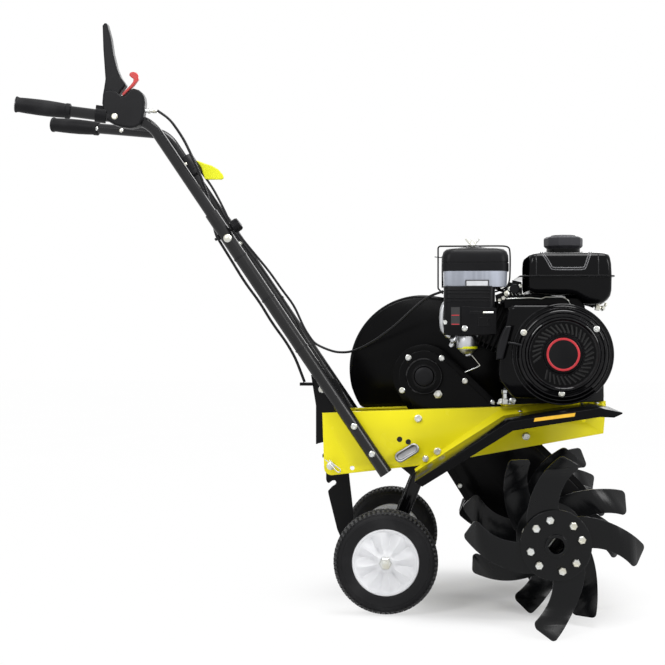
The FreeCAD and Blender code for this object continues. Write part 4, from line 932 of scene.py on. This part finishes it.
def add_cap():
    """Fuel cap with ten finger dips over its neck"""
    low, high = box_mm("tank_cap")
    x, y = middle("tank_cap").x, middle("tank_cap").y
    tall = high.z - low.z
    neck = bmesh.new()
    lathe(neck, [(38, 0), (38, 2), (33, 4.5), (31, 16)], (x, y, low.z - 7), UP, 48)
    for side in (-1, 1):
        block(neck, (9, 16, 3.6), (x + side * 42, y - 8, low.z - 1.2), (side * 0.25, 0, 1))
    add_piece("filler_neck", neck, "gloss_black", bevel=0.6)
    cap = bmesh.new()
    lathe(cap, [(0, 8), (32, 8), (33, 9), (36.8, 11.5), (38.8, 14), (39, tall - 10), (38.4, tall - 6.5),
        (34, tall - 3.6), (25.5, tall - 2.4), (24, tall - 0.6), (20, tall), (0, tall)], (x, y, low.z),
        UP, 80)
    for vert in cap.verts:
        level = vert.co.z / MM - low.z
        flat = Vector((vert.co.x - x * MM, vert.co.y - y * MM))
        if 9.5 < level < tall - 3:
            turn = math.atan2(flat.y, flat.x) * 10 % (2 * math.pi) - math.pi
            dip = 1 - 0.045 * (1 - abs(turn) / math.pi) ** 0.5
            vert.co.x = x * MM + flat.x * dip
            vert.co.y = y * MM + flat.y * dip
    piece = add_piece("fuel_cap", cap, "cap", angle=24)
    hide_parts("tank_cap")
    turned("fuel_cap_skirt", "gloss_black", [(32, -1), (33.6, 0), (33.6, 8), (30, 9)], (x, y, low.z),
        UP, 48)


def add_tap():
    """Fuel tap under the tank's front and its hose"""
    tap = bmesh.new()
    lathe(tap, [(0, 0), (8, 0), (8, 10), (5, 12), (5, 20), (0, 20)], (548, -62, 600), (0.3, -0.2, -1), 20)
    block(tap, (22, 8, 10), (552, -68, 585), (0.2, 0, 1))
    hex_bolt(tap, (560, -72, 584), (0.6, -0.6, 0.1), 9)
    hex_bolt(tap, (566, -66, 592), (0.8, -0.3, -0.2), 7)
    add_piece("fuel_tap", tap, "zinc", bevel=0.5)
    wire("fuel_hose", [(545, -64, 588), (530, -66, 594), (470, -82, 605), (400, -84, 612),
        (360, -86, 596)], 3.4, "cable", smooth=True)


class TILLER_OT_tank(bpy.types.Operator):
    """Build the pressed fuel tank, its filler cap, tap and hose"""
    bl_idname = "tiller.tank"
    bl_label = "Fuel tank"

    def execute(self, context):
        low, high = box_mm("fuel_tank")
        top = [(17, 6, 8, 0.02, 9), (17, 7, 8.5, 0.5, 9), (18, 9, 9.5, 0.76, 10), (20, 11, 12, 0.88, 12),
            (25, 15, 18, 0.96, 17), (33, 22, 27, 1.0, 20), (52, 58, 96, 1.07, 6)]
        floor = [(17, 6, 8, 0.03, 9), (17, 6.5, 8.5, 0.6, 9), (18.5, 8, 11, 0.82, 12),
            (23, 12, 17, 0.94, 15), (32, 20, 28, 1.0, 20), (52, 40, 96, 1.0, 6)]
        tank_half("tank_top", low, high, top, lambda x: TANK_CROWN)
        tank_half("tank_bottom", low, high, floor, floor_level)
        piece = rounded_stack("tank_seam", "gloss_black", low, high, ((0, TANK_SEAM - 1.7, 18),
            (0, TANK_SEAM + 1.7, 18)), bevel=1.0)
        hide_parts("fuel_tank")
        add_swages(low)
        add_cap()
        add_tap()
        return {"FINISHED"}


def add_base_detail():
    """Cooling ribs, blank badge, blank plate, screws and choke slot on the near face"""
    low, high = box_mm("air_cleaner_base")
    near = low.y
    ribs = bmesh.new()
    for z in (620, 613, 604, 597.5):
        block(ribs, (86, 2.4, 1.5), ((low.x + high.x) / 2 - 3, near - 0.5, z), UP)
    prism(ribs, [(284, 533), (351, 533), (351, 584), (284, 588)], near - 2.5, near)
    prism(ribs, oblong(300, 572, 345, 578), near - 4, near - 2)
    add_piece("cleaner_ribs", ribs, "plastic", bevel=0.6)
    cut_out("cleaner_badge", "dark_print", oblong(263, 586, 280, 551), near - 0.3, near)
    stripe = bmesh.new()
    for z in (571, 553.4):
        prism(stripe, oblong(264, z, 279, z - 1.6), near - 0.5, near)
    add_piece("cleaner_stripe", stripe, "red_print")
    cut_out("cleaner_plate", "dark_print", oblong(290.8, 639, 336.6, 625.8), near - 1.6, near,
        bevel=0.4)
    cut_out("cleaner_plate_face", "pale_print", oblong(293, 637, 334.4, 627.8), near - 1.9,
        near - 1.5, bevel=0.2)
    bolts = bmesh.new()
    hex_bolt(bolts, (289.7, near - 2.5, 544.3), NEAR, 9)
    hex_bolt(bolts, (254, near + 8, 556.3), (-0.5, -1, 0), 9)
    lathe(bolts, [(0, 0), (2.4, 0), (2.4, 20), (0, 20)], (325, near - 5, 575), (1, 0, 0), 14)
    add_piece("cleaner_bolts", bolts, "zinc")
    cut_out("choke_bracket", "black", [(316, 566), (338, 566), (338, 562), (334, 562), (334, 553),
        (338, 553), (338, 549), (316, 549)], near - 4.5, near - 2.6, bevel=0.5)


def add_wing_nut():
    """Wing nut on its stud, over the lid's low crown"""
    stud = 306
    top = LID_TOP
    nut = bmesh.new()
    lathe(nut, [(0, 0), (9, 0), (9, 1.2), (6.5, 1.6), (5.5, 6), (4.5, 8), (0, 8)], (stud, -72, top + 6),
        UP, 24)
    for side in (-1, 1):
        prism(nut, [(stud + side * 3, top + 9), (stud + side * 6, top + 8), (stud + side * 14, top + 17),
            (stud + side * 15, top + 20), (stud + side * 12.5, top + 20.4), (stud + side * 8, top + 15)],
            -73.2, -70.8)
    lathe(nut, [(0, 0), (2.8, 0), (2.8, 16), (0, 16.4)], (stud, -72, top + 3), UP, 16)
    add_piece("wing_nut", nut, "zinc", bevel=0.5)
    turned("lid_crown", "plastic", [(30, 0), (30, 0.7), (9, 4.5), (0, 4.7)], (stud, -72, top), UP,
        40)


def add_bowl():
    """Float bowl and its seal, drain and body screws, stay and breather elbow"""
    low = box_mm("carburettor")[0]
    x, y = middle("carburettor").x, middle("carburettor").y
    cup = bmesh.new()
    spot = (x + 3.4, y, low.z - 1)
    lathe(cup, [(0, -14), (4, -14), (4, -11), (9, -10), (14, -6), (17.4, -1), (18, 0), (18.4, 6), (19, 8),
        (19, 25)], spot, UP, 40)
    add_piece("float_bowl", cup, "alloy")
    turned("bowl_seal", "lime_plastic", [(18, 0), (19.8, 0.8), (19.8, 4.4), (18, 5.2)], spot, UP, 40)
    drain = bmesh.new()
    hex_bolt(drain, (x + 8, y - 4, low.z - 10), (0.3, -0.3, -1), 7)
    hex_bolt(drain, (x - 27, y - 6, low.z + 8), (-0.4, -0.8, -0.4), 8)
    hex_bolt(drain, (252.6, -71, 557.7), NEAR, 8)
    lathe(drain, [(0, 0), (6, 0), (6, 14), (3, 18), (0, 18)], (x - 19, y - 10, low.z + 26),
        (-0.5, -0.4, -0.8), 16)
    add_piece("bowl_screws", drain, "alloy")
    wire("carburettor_stay", [(292, -80, 506), (304, -80, 492), (321, -80, 471.5), (316, -80, 468),
        (291, -80, 457.5)], 1.1, "zinc")
    wire("breather_elbow", [(257, -64, 598), (250, -64, 590), (247, -64, 574), (247, -64, 550),
        (251, -64, 536), (262, -62, 529)], 6.8, "alloy", smooth=True)


class TILLER_OT_air_cleaner(bpy.types.Operator):
    """Build the air cleaner: cover, smoked band, ribbed base, wing nut and carburettor bowl"""
    bl_idname = "tiller.air_cleaner"
    bl_label = "Air cleaner"

    def execute(self, context):
        low, high = box_mm("air_cleaner_cover")
        top = LID_TOP
        piece = rounded_stack("cleaner_lid", "plastic", low, high, ((4, low.z, 14), (0, low.z + 0.6, 16),
            (0, low.z + 16, 16), (1.4, low.z + 16.6, 16), (1.4, low.z + 18.4, 16), (0.3, low.z + 19, 16),
            (0.8, top - 16, 17), (3.5, top - 8, 18), (9, top - 2.6, 20), (18, top - 0.6, 22),
            (34, top, 20)), angle=50)
        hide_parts("air_cleaner_cover")
        low, high = box_mm("air_cleaner_band")
        piece = rounded_stack("cleaner_band", "smoke", low, high, ((2, low.z - 1, 14), (1, low.z + 3, 14),
            (0, high.z - 3, 14), (0, high.z + 1, 14)), angle=50)
        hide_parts("air_cleaner_band")
        eased("air_cleaner_base", "plastic", 2.5)
        add_base_detail()
        add_wing_nut()
        add_bowl()
        paint_node("air_cleaner_guard", "black")
        wire("cleaner_guard_front", [(309, -72, 708), (360, -72, 708.5), (376, -72, 707),
            (380.5, -72, 700), (380.5, -72, 660), (379, -72, 634), (370, -70, 622), (350, -68, 617)], 1.6,
            "black", smooth=True)
        return {"FINISHED"}


# --- wheels and rotor -----------------------------------------------------------------------

TREAD_ROWS = ((-14.5, 0.35, 11), (-5, -0.35, 7.5), (5, 0.35, 7.5), (14.5, -0.35, 11))
LUGS = 66


def add_tyre(name):
    """Tyre with raised sidewall rings and four rows of lugs, each row's place, twist and width"""
    low, high = box_mm(f"tyre_{name}")
    spot = middle(f"tyre_{name}")
    bm = bmesh.new()
    half = (high.y - low.y) / 2
    wall = ((63.6, 5), (65, 2.4), (68, 1.4), (80, 0.5), (88, 1.0), (92, 3.2), (95.6, 7), (97.2, 13))
    profile = [(radius, -half + rise) for radius, rise in wall] + [(97.6, 0)]
    profile += [(r, -h) for r, h in reversed(profile[:-1])]
    lathe(bm, profile, spot, FAR, 96)
    for radius, off in ((90.5, 2.0), (84.5, 0.6)):
        for side in (-1, 1):
            lathe(bm, [(radius - 0.8, side * (half - off - 1)), (radius - 0.4, side * (half - off + 0.4)),
                (radius + 0.4, side * (half - off + 0.2)), (radius + 0.8, side * (half - off - 1))],
                spot, FAR, 72)
    body = f"wheel_{name}_body"
    piece = add_piece(f"tyre_{name}_body", bm, "tyre", body)
    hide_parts(f"tyre_{name}")
    tread = bmesh.new()
    for n in range(LUGS):
        for row, (off, twist, wide) in enumerate(TREAD_ROWS):
            turn = 2 * math.pi * (n + 0.5 * (row % 2)) / LUGS
            shoulder = abs(off) > 10
            way = Vector((math.cos(turn), 0, math.sin(turn)))
            out = way
            if shoulder:
                out = Vector((math.cos(turn), 0.28 * (1 if off > 0 else -1), math.sin(turn))).normalized()
            place = Vector(spot) + way * (96.6 if shoulder else 98.2) + Vector((0, off, 0))
            lug(tread, place, out, wide, twist, turn)
    add_piece(f"tyre_{name}_tread", tread, "tread", body)


def lug(bm, place, out, wide, twist, turn):
    """One tread lug, narrower at its top"""
    round_way = Vector((-math.sin(turn), 0, math.cos(turn)))
    side = out.cross(round_way).normalized()
    a = (round_way + side * twist).normalized() * 2.6
    b = side * wide / 2
    corners = []
    for level, long, broad in ((place - out * 2.2, 1, 1), (place + out * 1.5, 0.8, 0.9)):
        for p, q in ((-1, -1), (1, -1), (1, 1), (-1, 1)):
            corners.append(level + a * long * p + b * broad * q)
    verts = [bm.verts.new(c * MM) for c in corners]
    for face in ((0, 1, 2, 3), (4, 5, 6, 7), (0, 1, 5, 4), (1, 2, 6, 5), (2, 3, 7, 6), (3, 0, 4, 7)):
        bm.faces.new([verts[n] for n in face])


def add_disc(name, side):
    """Wheel disc with eight fan blades pressed into it"""
    spot = middle(f"wheel_{name}")
    bm = bmesh.new()
    face = 17
    steps = 96
    profile = ((64.4, -1), (63, 0.6), (60.6, 0.6), (59.4, -2.2), (58, -3.2), (56, -3.2), (52, -2.6),
        (26, -0.2), (18, 0.8), (15, 2.8), (12, 3.4), (8.2, 3.4))
    for way in (side, -side):
        rings = []
        for radius, rise in profile:
            fade = min(1, (57 - radius) / 5) * min(1, (radius - 17) / 9) if 17 < radius < 57 else 0
            ring = []
            for n in range(steps):
                turn = 2 * math.pi * n / steps
                share = 1 - abs((n + 3) % 12 - 6) / 6
                out = way * (face + rise + (12 * share - 9.5) * fade)
                ring.append(bm.verts.new(at(spot.x + radius * math.cos(turn), spot.y + out,
                    spot.z + radius * math.sin(turn))))
            rings.append(ring)
        join(bm, rings)
    body = f"wheel_{name}_body"
    piece = add_piece(f"wheel_{name}_disc", bm, "wheel", body, angle=60)
    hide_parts(f"wheel_{name}")
    nut = bmesh.new()
    hex_nut(nut, (spot.x, spot.y + side * 20.5, spot.z), (0, side, 0), 21, 4)
    lathe(nut, [(0, 0), (11, 0), (11, 1.6), (0, 1.6)], (spot.x, spot.y - side * 20.4, spot.z),
        (0, -side, 0), 28)
    add_piece(f"wheel_{name}_nut", nut, "zinc", body)


class TILLER_OT_wheels(bpy.types.Operator):
    """Build the treaded tyres, bladed wheel discs and the stand's fittings"""
    bl_idname = "tiller.wheels"
    bl_label = "Wheels"

    def execute(self, context):
        for name, side in SIDES:
            add_tyre(name)
            add_disc(name, side)
        eased("wheel_stand", "rim_black", 2.6)
        ribs = bmesh.new()
        top = middle("stand_pivot_pin")
        foot = middle("wheel_right")
        way = Vector((foot.x - top.x, 0, foot.z - top.z))
        long = way.length
        across = Vector((-way.z, 0, way.x)).normalized()
        centre = Vector((top.x, 0, top.z)) + way * 0.5
        for side in (-1, 1):
            for off in (-11, 11):
                block(ribs, (3, 3, long - 34), centre + across * off + Vector((0, side * 60, 0)), way)
        add_piece("stand_ribs", ribs, "rim_black", "stand", bevel=0.7)
        plates = bmesh.new()
        for side in (-1, 1):
            y = side * 59
            prism(plates, [(157, 272), (197, 279), (189, 246)], y, y + side * 2)
        add_piece("stand_gussets", plates, "black", "stand", bevel=0.5)
        eased("stand_lock", "steel", 2.2)
        return {"FINISHED"}


class TILLER_OT_rotor(bpy.types.Operator):
    """Finish the bent tines, hubs and shaft, and bolt the tines on"""
    bl_idname = "tiller.rotor"
    bl_label = "Tine rotor"

    def execute(self, context):
        paint_node("tine_shaft", "black")
        for name, side in SIDES:
            bolts = bmesh.new()
            for row, phase, plate in (("inner", 5, 132), ("middle", -35, 248), ("outer", -4, 364)):
                eased(f"tines_{row}_{name}", "tine", 0.9, angle=40)
                eased(f"tine_hub_{row}_{name}", "tine", 0.8)
                left = -18 if side > 0 else 0
                head, nut = (plate + 8, plate - 3) if row == "inner" else (plate + 3, plate - 8)
                for quarter in range(4):
                    for off in (-49.6, -13.5):
                        turn = math.radians(90 * quarter + off + phase + 4 + left)
                        px = ROTOR_X + TINE_BOLT_RING * math.sin(turn)
                        pz = ROTOR_Z + TINE_BOLT_RING * math.cos(turn)
                        hex_bolt(bolts, (px, side * head, pz), (0, side, 0), 13, washer=1.04, spin=px)
                        hex_nut(bolts, (px, side * nut, pz), (0, -side, 0), 12, 2.5)
            add_piece(f"tine_bolts_{name}", bolts, "zinc", "rotor")
            collar = [(20.4, -7), (22, -6), (22, 6), (20.4, 7)]
            pin = [(0, -31), (6, -31), (6, -25), (3.6, -25), (3.6, 26), (5.5, 26), (5.5, 30), (0, 30)]
            for kind, finish, profile, way, steps, bevel in (("collars", "black", collar, FAR, 40, 0),
                    ("pins", "zinc", pin, (0.6, 0, 0.8), 18, 0.4)):
                bm = bmesh.new()
                for y in (190, 306):
                    lathe(bm, profile, (ROTOR_X, side * y, ROTOR_Z), way, steps)
                add_piece(f"rotor_{kind}_{name}", bm, finish, "rotor", bevel)
        return {"FINISHED"}


# --- handle ---------------------------------------------------------------------------------

def tube_bend(side):
    """Place where an upper tube turns back towards its grip."""
    return Vector((-340.3, side * TUBE_Y, 960))


def add_grip(name, side):
    """Smooth sleeve with a flared outer end and a collar at its inner end, and end cap over a tube's last
    stretch
    """
    bend = tube_bend(side)
    way = (bend - Vector((-598, side * 134, 990))).normalized()
    start = Vector((-598, side * 134, 990)) - way * 3
    grip = bmesh.new()
    profile = [(0, 0), (11, 0), (15.2, 0.6), (16, 1.6), (16, 4), (14.9, 5.5), (14.6, 9), (15.4, 24),
        (15.9, 46), (15.9, 64), (15.2, 84), (14.4, 97), (14.4, 99), (15.4, 100), (15.4, 108), (12.5, 110),
        (11.4, 110)]
    lathe(grip, profile, start, way, 40)
    piece = add_piece(f"grip_{name}_sleeve", grip, "grip")
    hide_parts(f"grip_{name}")
    turned(f"grip_{name}_cap", "steel", [(0, -1.3), (8, -1.2), (13.5, -0.5), (15.4, 0.5), (15.6, 2.4),
        (12, 2.4)], start, way, 32)


def add_lever_unit():
    """Clutch lever: swept blade over a rounded housing, lock hook, pivot and adjusters"""
    near, far = -113, -85
    mid = (near + far) / 2
    piece = cut_out("lever_case", "lever", [(-431, 995), (-430.5, 978), (-426, 966.5), (-418, 957.5),
        (-406, 950.8), (-391, 946), (-375, 943.9), (-363, 945.5), (-354, 951), (-349, 962), (-346.5, 976),
        (-344.7, 995), (-346, 1006), (-350, 1014), (-357, 1020), (-368, 1023.5), (-375, 1021),
        (-385, 1011), (-393, 1008), (-400, 1016), (-414, 1022), (-429, 1020)], near, far, bevel=4.5,
        angle=60, segments=3)
    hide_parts("lever_housing")
    piece = cut_out("lever_blade", "lever", [(-432, 994), (-430.6, 1012), (-428.2, 1024.7), (-425.4, 1043),
        (-427.6, 1073.7), (-429.8, 1104.5), (-431.3, 1150), (-427.5, 1154.6), (-422.5, 1155.8),
        (-414.2, 1125.7), (-409.5, 1094.9), (-401.7, 1064.2), (-393.9, 1045.7), (-383, 1031), (-394, 1018),
        (-400, 1008), (-405, 985), (-425, 975)], mid - 12, mid + 12, bevel=3.5, angle=60, segments=3)
    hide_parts("clutch_lever")
    band = bmesh.new()
    way = Vector((-257.7, -45.5, 30)).normalized()
    lathe(band, [(11.3, 0), (15, 0), (15, 22), (11.3, 22)], tube_bend(-1) + way * 86, way,
        36)
    block(band, (12, 10, 20), tube_bend(-1) + way * 97 + Vector((0, 0, 14)), way)
    add_piece("lever_clamp", band, "lever", bevel=1.2)
    piece = cut_out("lever_hook", "red", [(-390.8, 1008.8), (-380, 1019.5), (-369, 1030), (-359.6, 1042.1),
        (-359.6, 1050), (-363.5, 1056), (-371, 1058), (-377, 1056), (-378.5, 1051), (-374, 1046.5),
        (-369.5, 1044), (-370.5, 1038), (-377, 1030), (-393.9, 1014)], mid - 5, mid + 5, bevel=1.6,
        angle=60, segments=3)
    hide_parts("lock_trigger")
    metal = bmesh.new()
    hex_bolt(metal, (-405.6, near, 967.5), NEAR, 10, head=0.4)
    hex_nut(metal, (-405.6, far, 967.5), FAR, 10)
    for step in (0, 6.5):
        lathe(metal, [(0, -2), (3.2, -2), (3.2, 3), (5, 3.2), (5, 8), (3.2, 8.4), (3.2, 12), (4, 12.4),
            (4, 18), (2.8, 21), (0, 21)], (-344, -102 + step, 980), (1, 0, -0.03), 20)
    add_piece("lever_adjusters", metal, "zinc")


def add_throttle_lever():
    """Throttle paddle with its ring and two screws on the far tube"""
    piece = cut_out("throttle_paddle", "lime_plastic", [(-277.5, 904), (-268, 901), (-255, 896),
        (-242, 892), (-229, 884.5), (-218.5, 873), (-216, 866), (-220, 862), (-240, 861.8), (-257, 862),
        (-261, 874), (-266, 889)], 84.5, 92.5, bevel=2.4, angle=60, segments=3)
    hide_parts("throttle_lever")
    hub = bmesh.new()
    centre = Vector((-291.6, TUBE_Y, 888)) - TUBE_WAY * 6
    lathe(hub, [(21.9, -6), (22.6, -5), (22.6, 5), (21.9, 6)], centre, TUBE_WAY, 44)
    add_piece("throttle_ring", hub, "lever")
    screws = bmesh.new()
    for way in (NEAR, FAR):
        dome_bolt(screws, centre + TUBE_WAY * 12 + Vector(way) * 22, way, 3.5)
    add_piece("throttle_screws", screws, "zinc")


def add_knobs():
    """Lobed clamp knob on the near tube"""
    knob = bmesh.new()
    seat = on_tube(-1, KNOB_REACH)
    steps = 60
    rings = []
    for radius, level in ((5, 12.6), (5, 18), (11, 19), (13.6, 21), (13.6, 33), (11.5, 37), (6, 38)):
        ring = []
        for n in range(steps):
            turn = 2 * math.pi * n / steps
            lobe = 1 - (0.13 if radius > 10 else 0) * max(0, math.cos(turn * 5)) ** 2
            ring.append(knob.verts.new((seat + TUBE_FRONT * level + TUBE_WAY * radius * lobe * math.cos(turn)
                + Vector(FAR) * radius * lobe * math.sin(turn)) * MM))
        rings.append(ring)
    skin(knob, rings)
    piece = add_piece("clamp_knobs", knob, "plastic", angle=45)
    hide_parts("handle_knobs")


def add_small_metal():
    """Bolts through the tubes and bracket, tube holes as near-black discs of painted shade, knob nuts and
    cable ties
    """
    bolts = bmesh.new()
    holes = bmesh.new()
    ties = bmesh.new()
    for side in (-1, 1):
        dome_bolt(bolts, (-180, side * 101.7, 724), (0, side, 0), 8.5)
        hex_nut(bolts, (-180, side * 75.3, 724), (0, -side, 0), 10, 3)
        hex_bolt(bolts, (6, side * 72, 422.5), (0, side, 0), 11)
        # near-black disc for a hole in the tube: painted shade
        lathe(holes, [(0, 0), (4.4, 0), (4.4, 2.2), (0, 2.2)], (-280.3, side * 98.4, 866.1), (0, side, 0), 24)
        hex_nut(ties, on_tube(side, KNOB_REACH) - TUBE_FRONT * 13.2, -TUBE_FRONT, 11, 4)
    for x, y, z in ((-496.6, 105, 976), (-439.6, 95, 970)):
        dome_bolt(bolts, (x, y, z), (0.1, -1, 0), 4.5)
    for reach in (300, 420, 520):
        for side in (-1, 1):
            lathe(ties, [(13.4, -2), (14.4, -2), (14.4, 2), (13.4, 2)], on_tube(side, reach), TUBE_WAY, 36)
    add_piece("handle_bolts", bolts, "zinc")
    add_piece("bar_hole_shades", holes, "hole_shade")
    add_piece("cable_ties", ties, "cable")


class TILLER_OT_handle(bpy.types.Operator):
    """Dress the handle: tubes, grips, lever unit, throttle, knobs, cables and bracket"""
    bl_idname = "tiller.handle"
    bl_label = "Handle"

    def execute(self, context):
        for name, side in SIDES:
            paint_node(f"lower_tube_{name}", "tube")
            paint_node(f"upper_tube_{name}", "bar")
            add_grip(name, side)
        eased("handle_bracket", "black", 0.9)
        stake = bmesh.new()
        low, high = box_mm("drag_stake")
        prism(stake, [(9, 340), (9, 235), (11, 229), (15, 227), (22, 232.5), (27.5, 233), (30, 229),
            (28, 224.6), (21, 220), (13, 211), (14, 204), (32, 132), (68, 50), (76, 58), (65, 166),
            (56, 247), (56, 340)], low.y + 0.4, high.y - 0.4)
        piece = add_piece("stake_bar", stake, "black", bevel=0.6)
        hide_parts("drag_stake")
        eased("throttle_housing", "lever", 3)
        for node in ("clutch_cables", "throttle_cable"):
            paint_node(node, "cable")
        add_lever_unit()
        add_throttle_lever()
        add_knobs()
        add_small_metal()
        return {"FINISHED"}


# --- stage ----------------------------------------------------------------------------------

def add_floor():
    """Pale floor that fades into the white ground, with less of its white glow round a spot under the tines,
    so the floor there is darker than the lamps alone make it: a painted shadow
    """
    bm = bmesh.new()
    bmesh.ops.create_grid(bm, x_segments=1, y_segments=1, size=12)
    mesh = bpy.data.meshes.new("floor")
    bm.to_mesh(mesh)
    bm.free()
    floor = bpy.data.objects.new("floor", mesh)
    floor.location.z = -0.0006
    bpy.context.scene.collection.objects.link(floor)
    s = Shade("studio_floor")
    spot = s.node("ShaderNodeVectorMath", {"operation": "DISTANCE"}, {0: s.place(), 1: (0.36, 0, 0)}, 1)
    # less glow near the spot under the tines: a painted shadow on top of the lamps' own
    far = spot.ramp(0.0, 0.5) * 0.86 + 0.12 + s.noise(3, 2) * 0.02
    paper = s.node("ShaderNodeBsdfDiffuse", {}, {0: (0.86, 0.86, 0.87, 1)})
    glow = s.node("ShaderNodeEmission", {}, {0: (1, 1, 1, 1), 1: 1.0})
    s.end(s.node("ShaderNodeMixShader", {}, {0: s.seen() * far, 1: paper, 2: glow}))
    mesh.materials.append(s.block)


def add_world():
    """White to the camera and in reflections, dimmer as light"""
    world = bpy.data.worlds.new("studio")
    s = Shade(world)
    white = {0: (1, 1, 1, 1)}
    dim = s.node("ShaderNodeBackground", {}, {**white, 1: 0.42})
    bright = s.node("ShaderNodeBackground", {}, {**white, 1: 1.0})
    s.end(s.node("ShaderNodeMixShader", {}, {0: s.seen(), 1: dim, 2: bright}), "World")
    bpy.context.scene.world = world


def add_lamp(name, place, size, power):
    """Round soft lamp aimed at the machine"""
    data = bpy.data.lights.new(name, "AREA")
    data.shape = "DISK"
    data.size = size
    data.energy = power
    lamp = bpy.data.objects.new(name, data)
    lamp.location = place
    aim = Vector((0.1, 0, 0.4)) - Vector(place)
    lamp.rotation_euler = aim.to_track_quat("-Z", "Y").to_euler()
    bpy.context.scene.collection.objects.link(lamp)


class TILLER_OT_stage(bpy.types.Operator):
    """Add the pale floor, the soft lamps and the camera"""
    bl_idname = "tiller.stage"
    bl_label = "Stage"

    def execute(self, context):
        add_floor()
        add_world()
        add_lamp("key_lamp", (-1.3, -2.8, 2.4), 1.1, 44)
        add_lamp("fill_lamp", (2.5, -2.1, 1.7), 1.2, 38)
        add_lamp("top_lamp", (0.6, -0.2, 2.9), 1.5, 60)
        add_lamp("rear_lamp", (0.6, 3.0, 2.0), 2.0, 26)
        data = bpy.data.cameras.new("camera")
        data.sensor_width = 36
        data.lens = 74.27
        camera = bpy.data.objects.new("camera", data)
        camera.location = (0.226, -2.811, 0.5394)
        camera.rotation_euler = (math.radians(90), 0, math.radians(4.15))
        data.shift_y = -0.0023
        bpy.context.scene.collection.objects.link(camera)
        bpy.context.scene.camera = camera
        bpy.context.scene.view_settings.view_transform = "Standard"
        return {"FINISHED"}


class TillerSizes(bpy.types.PropertyGroup):
    """Values a user would change"""
    lime: bpy.props.FloatVectorProperty(
        name="Frame colour", description="Enamel on the side plates", default=(0.90, 0.80, 0.014),
        subtype="COLOR", min=0, max=1)


class TILLER_PT_panel(bpy.types.Panel):
    """Sidebar list of the tiller's pieces"""
    bl_label = "Tiller"
    bl_idname = "TILLER_PT_panel"
    bl_space_type = "VIEW_3D"
    bl_region_type = "UI"
    bl_category = "Tiller"

    def draw(self, context):
        self.layout.prop(context.scene.tiller, "lime")
        for item in PIECES:
            self.layout.operator(item.bl_idname)


PIECES = (TILLER_OT_stage, TILLER_OT_frame, TILLER_OT_engine, TILLER_OT_tank, TILLER_OT_air_cleaner,
          TILLER_OT_wheels, TILLER_OT_rotor, TILLER_OT_handle)
CLASSES = (TillerSizes, *PIECES, TILLER_PT_panel)


def register():
    """Makes the classes and the sizes known to Blender."""
    for item in CLASSES:
        bpy.utils.register_class(item)
    bpy.types.Scene.tiller = bpy.props.PointerProperty(type=TillerSizes)


def unregister():
    del bpy.types.Scene.tiller
    for item in reversed(CLASSES):
        bpy.utils.unregister_class(item)


def main():
    register()
    make_finishes(bpy.context.scene.tiller)
    for item in PIECES:
        group, name = item.bl_idname.split(".")
        getattr(getattr(bpy.ops, group), name)()


if __name__ == "__main__":
    main()
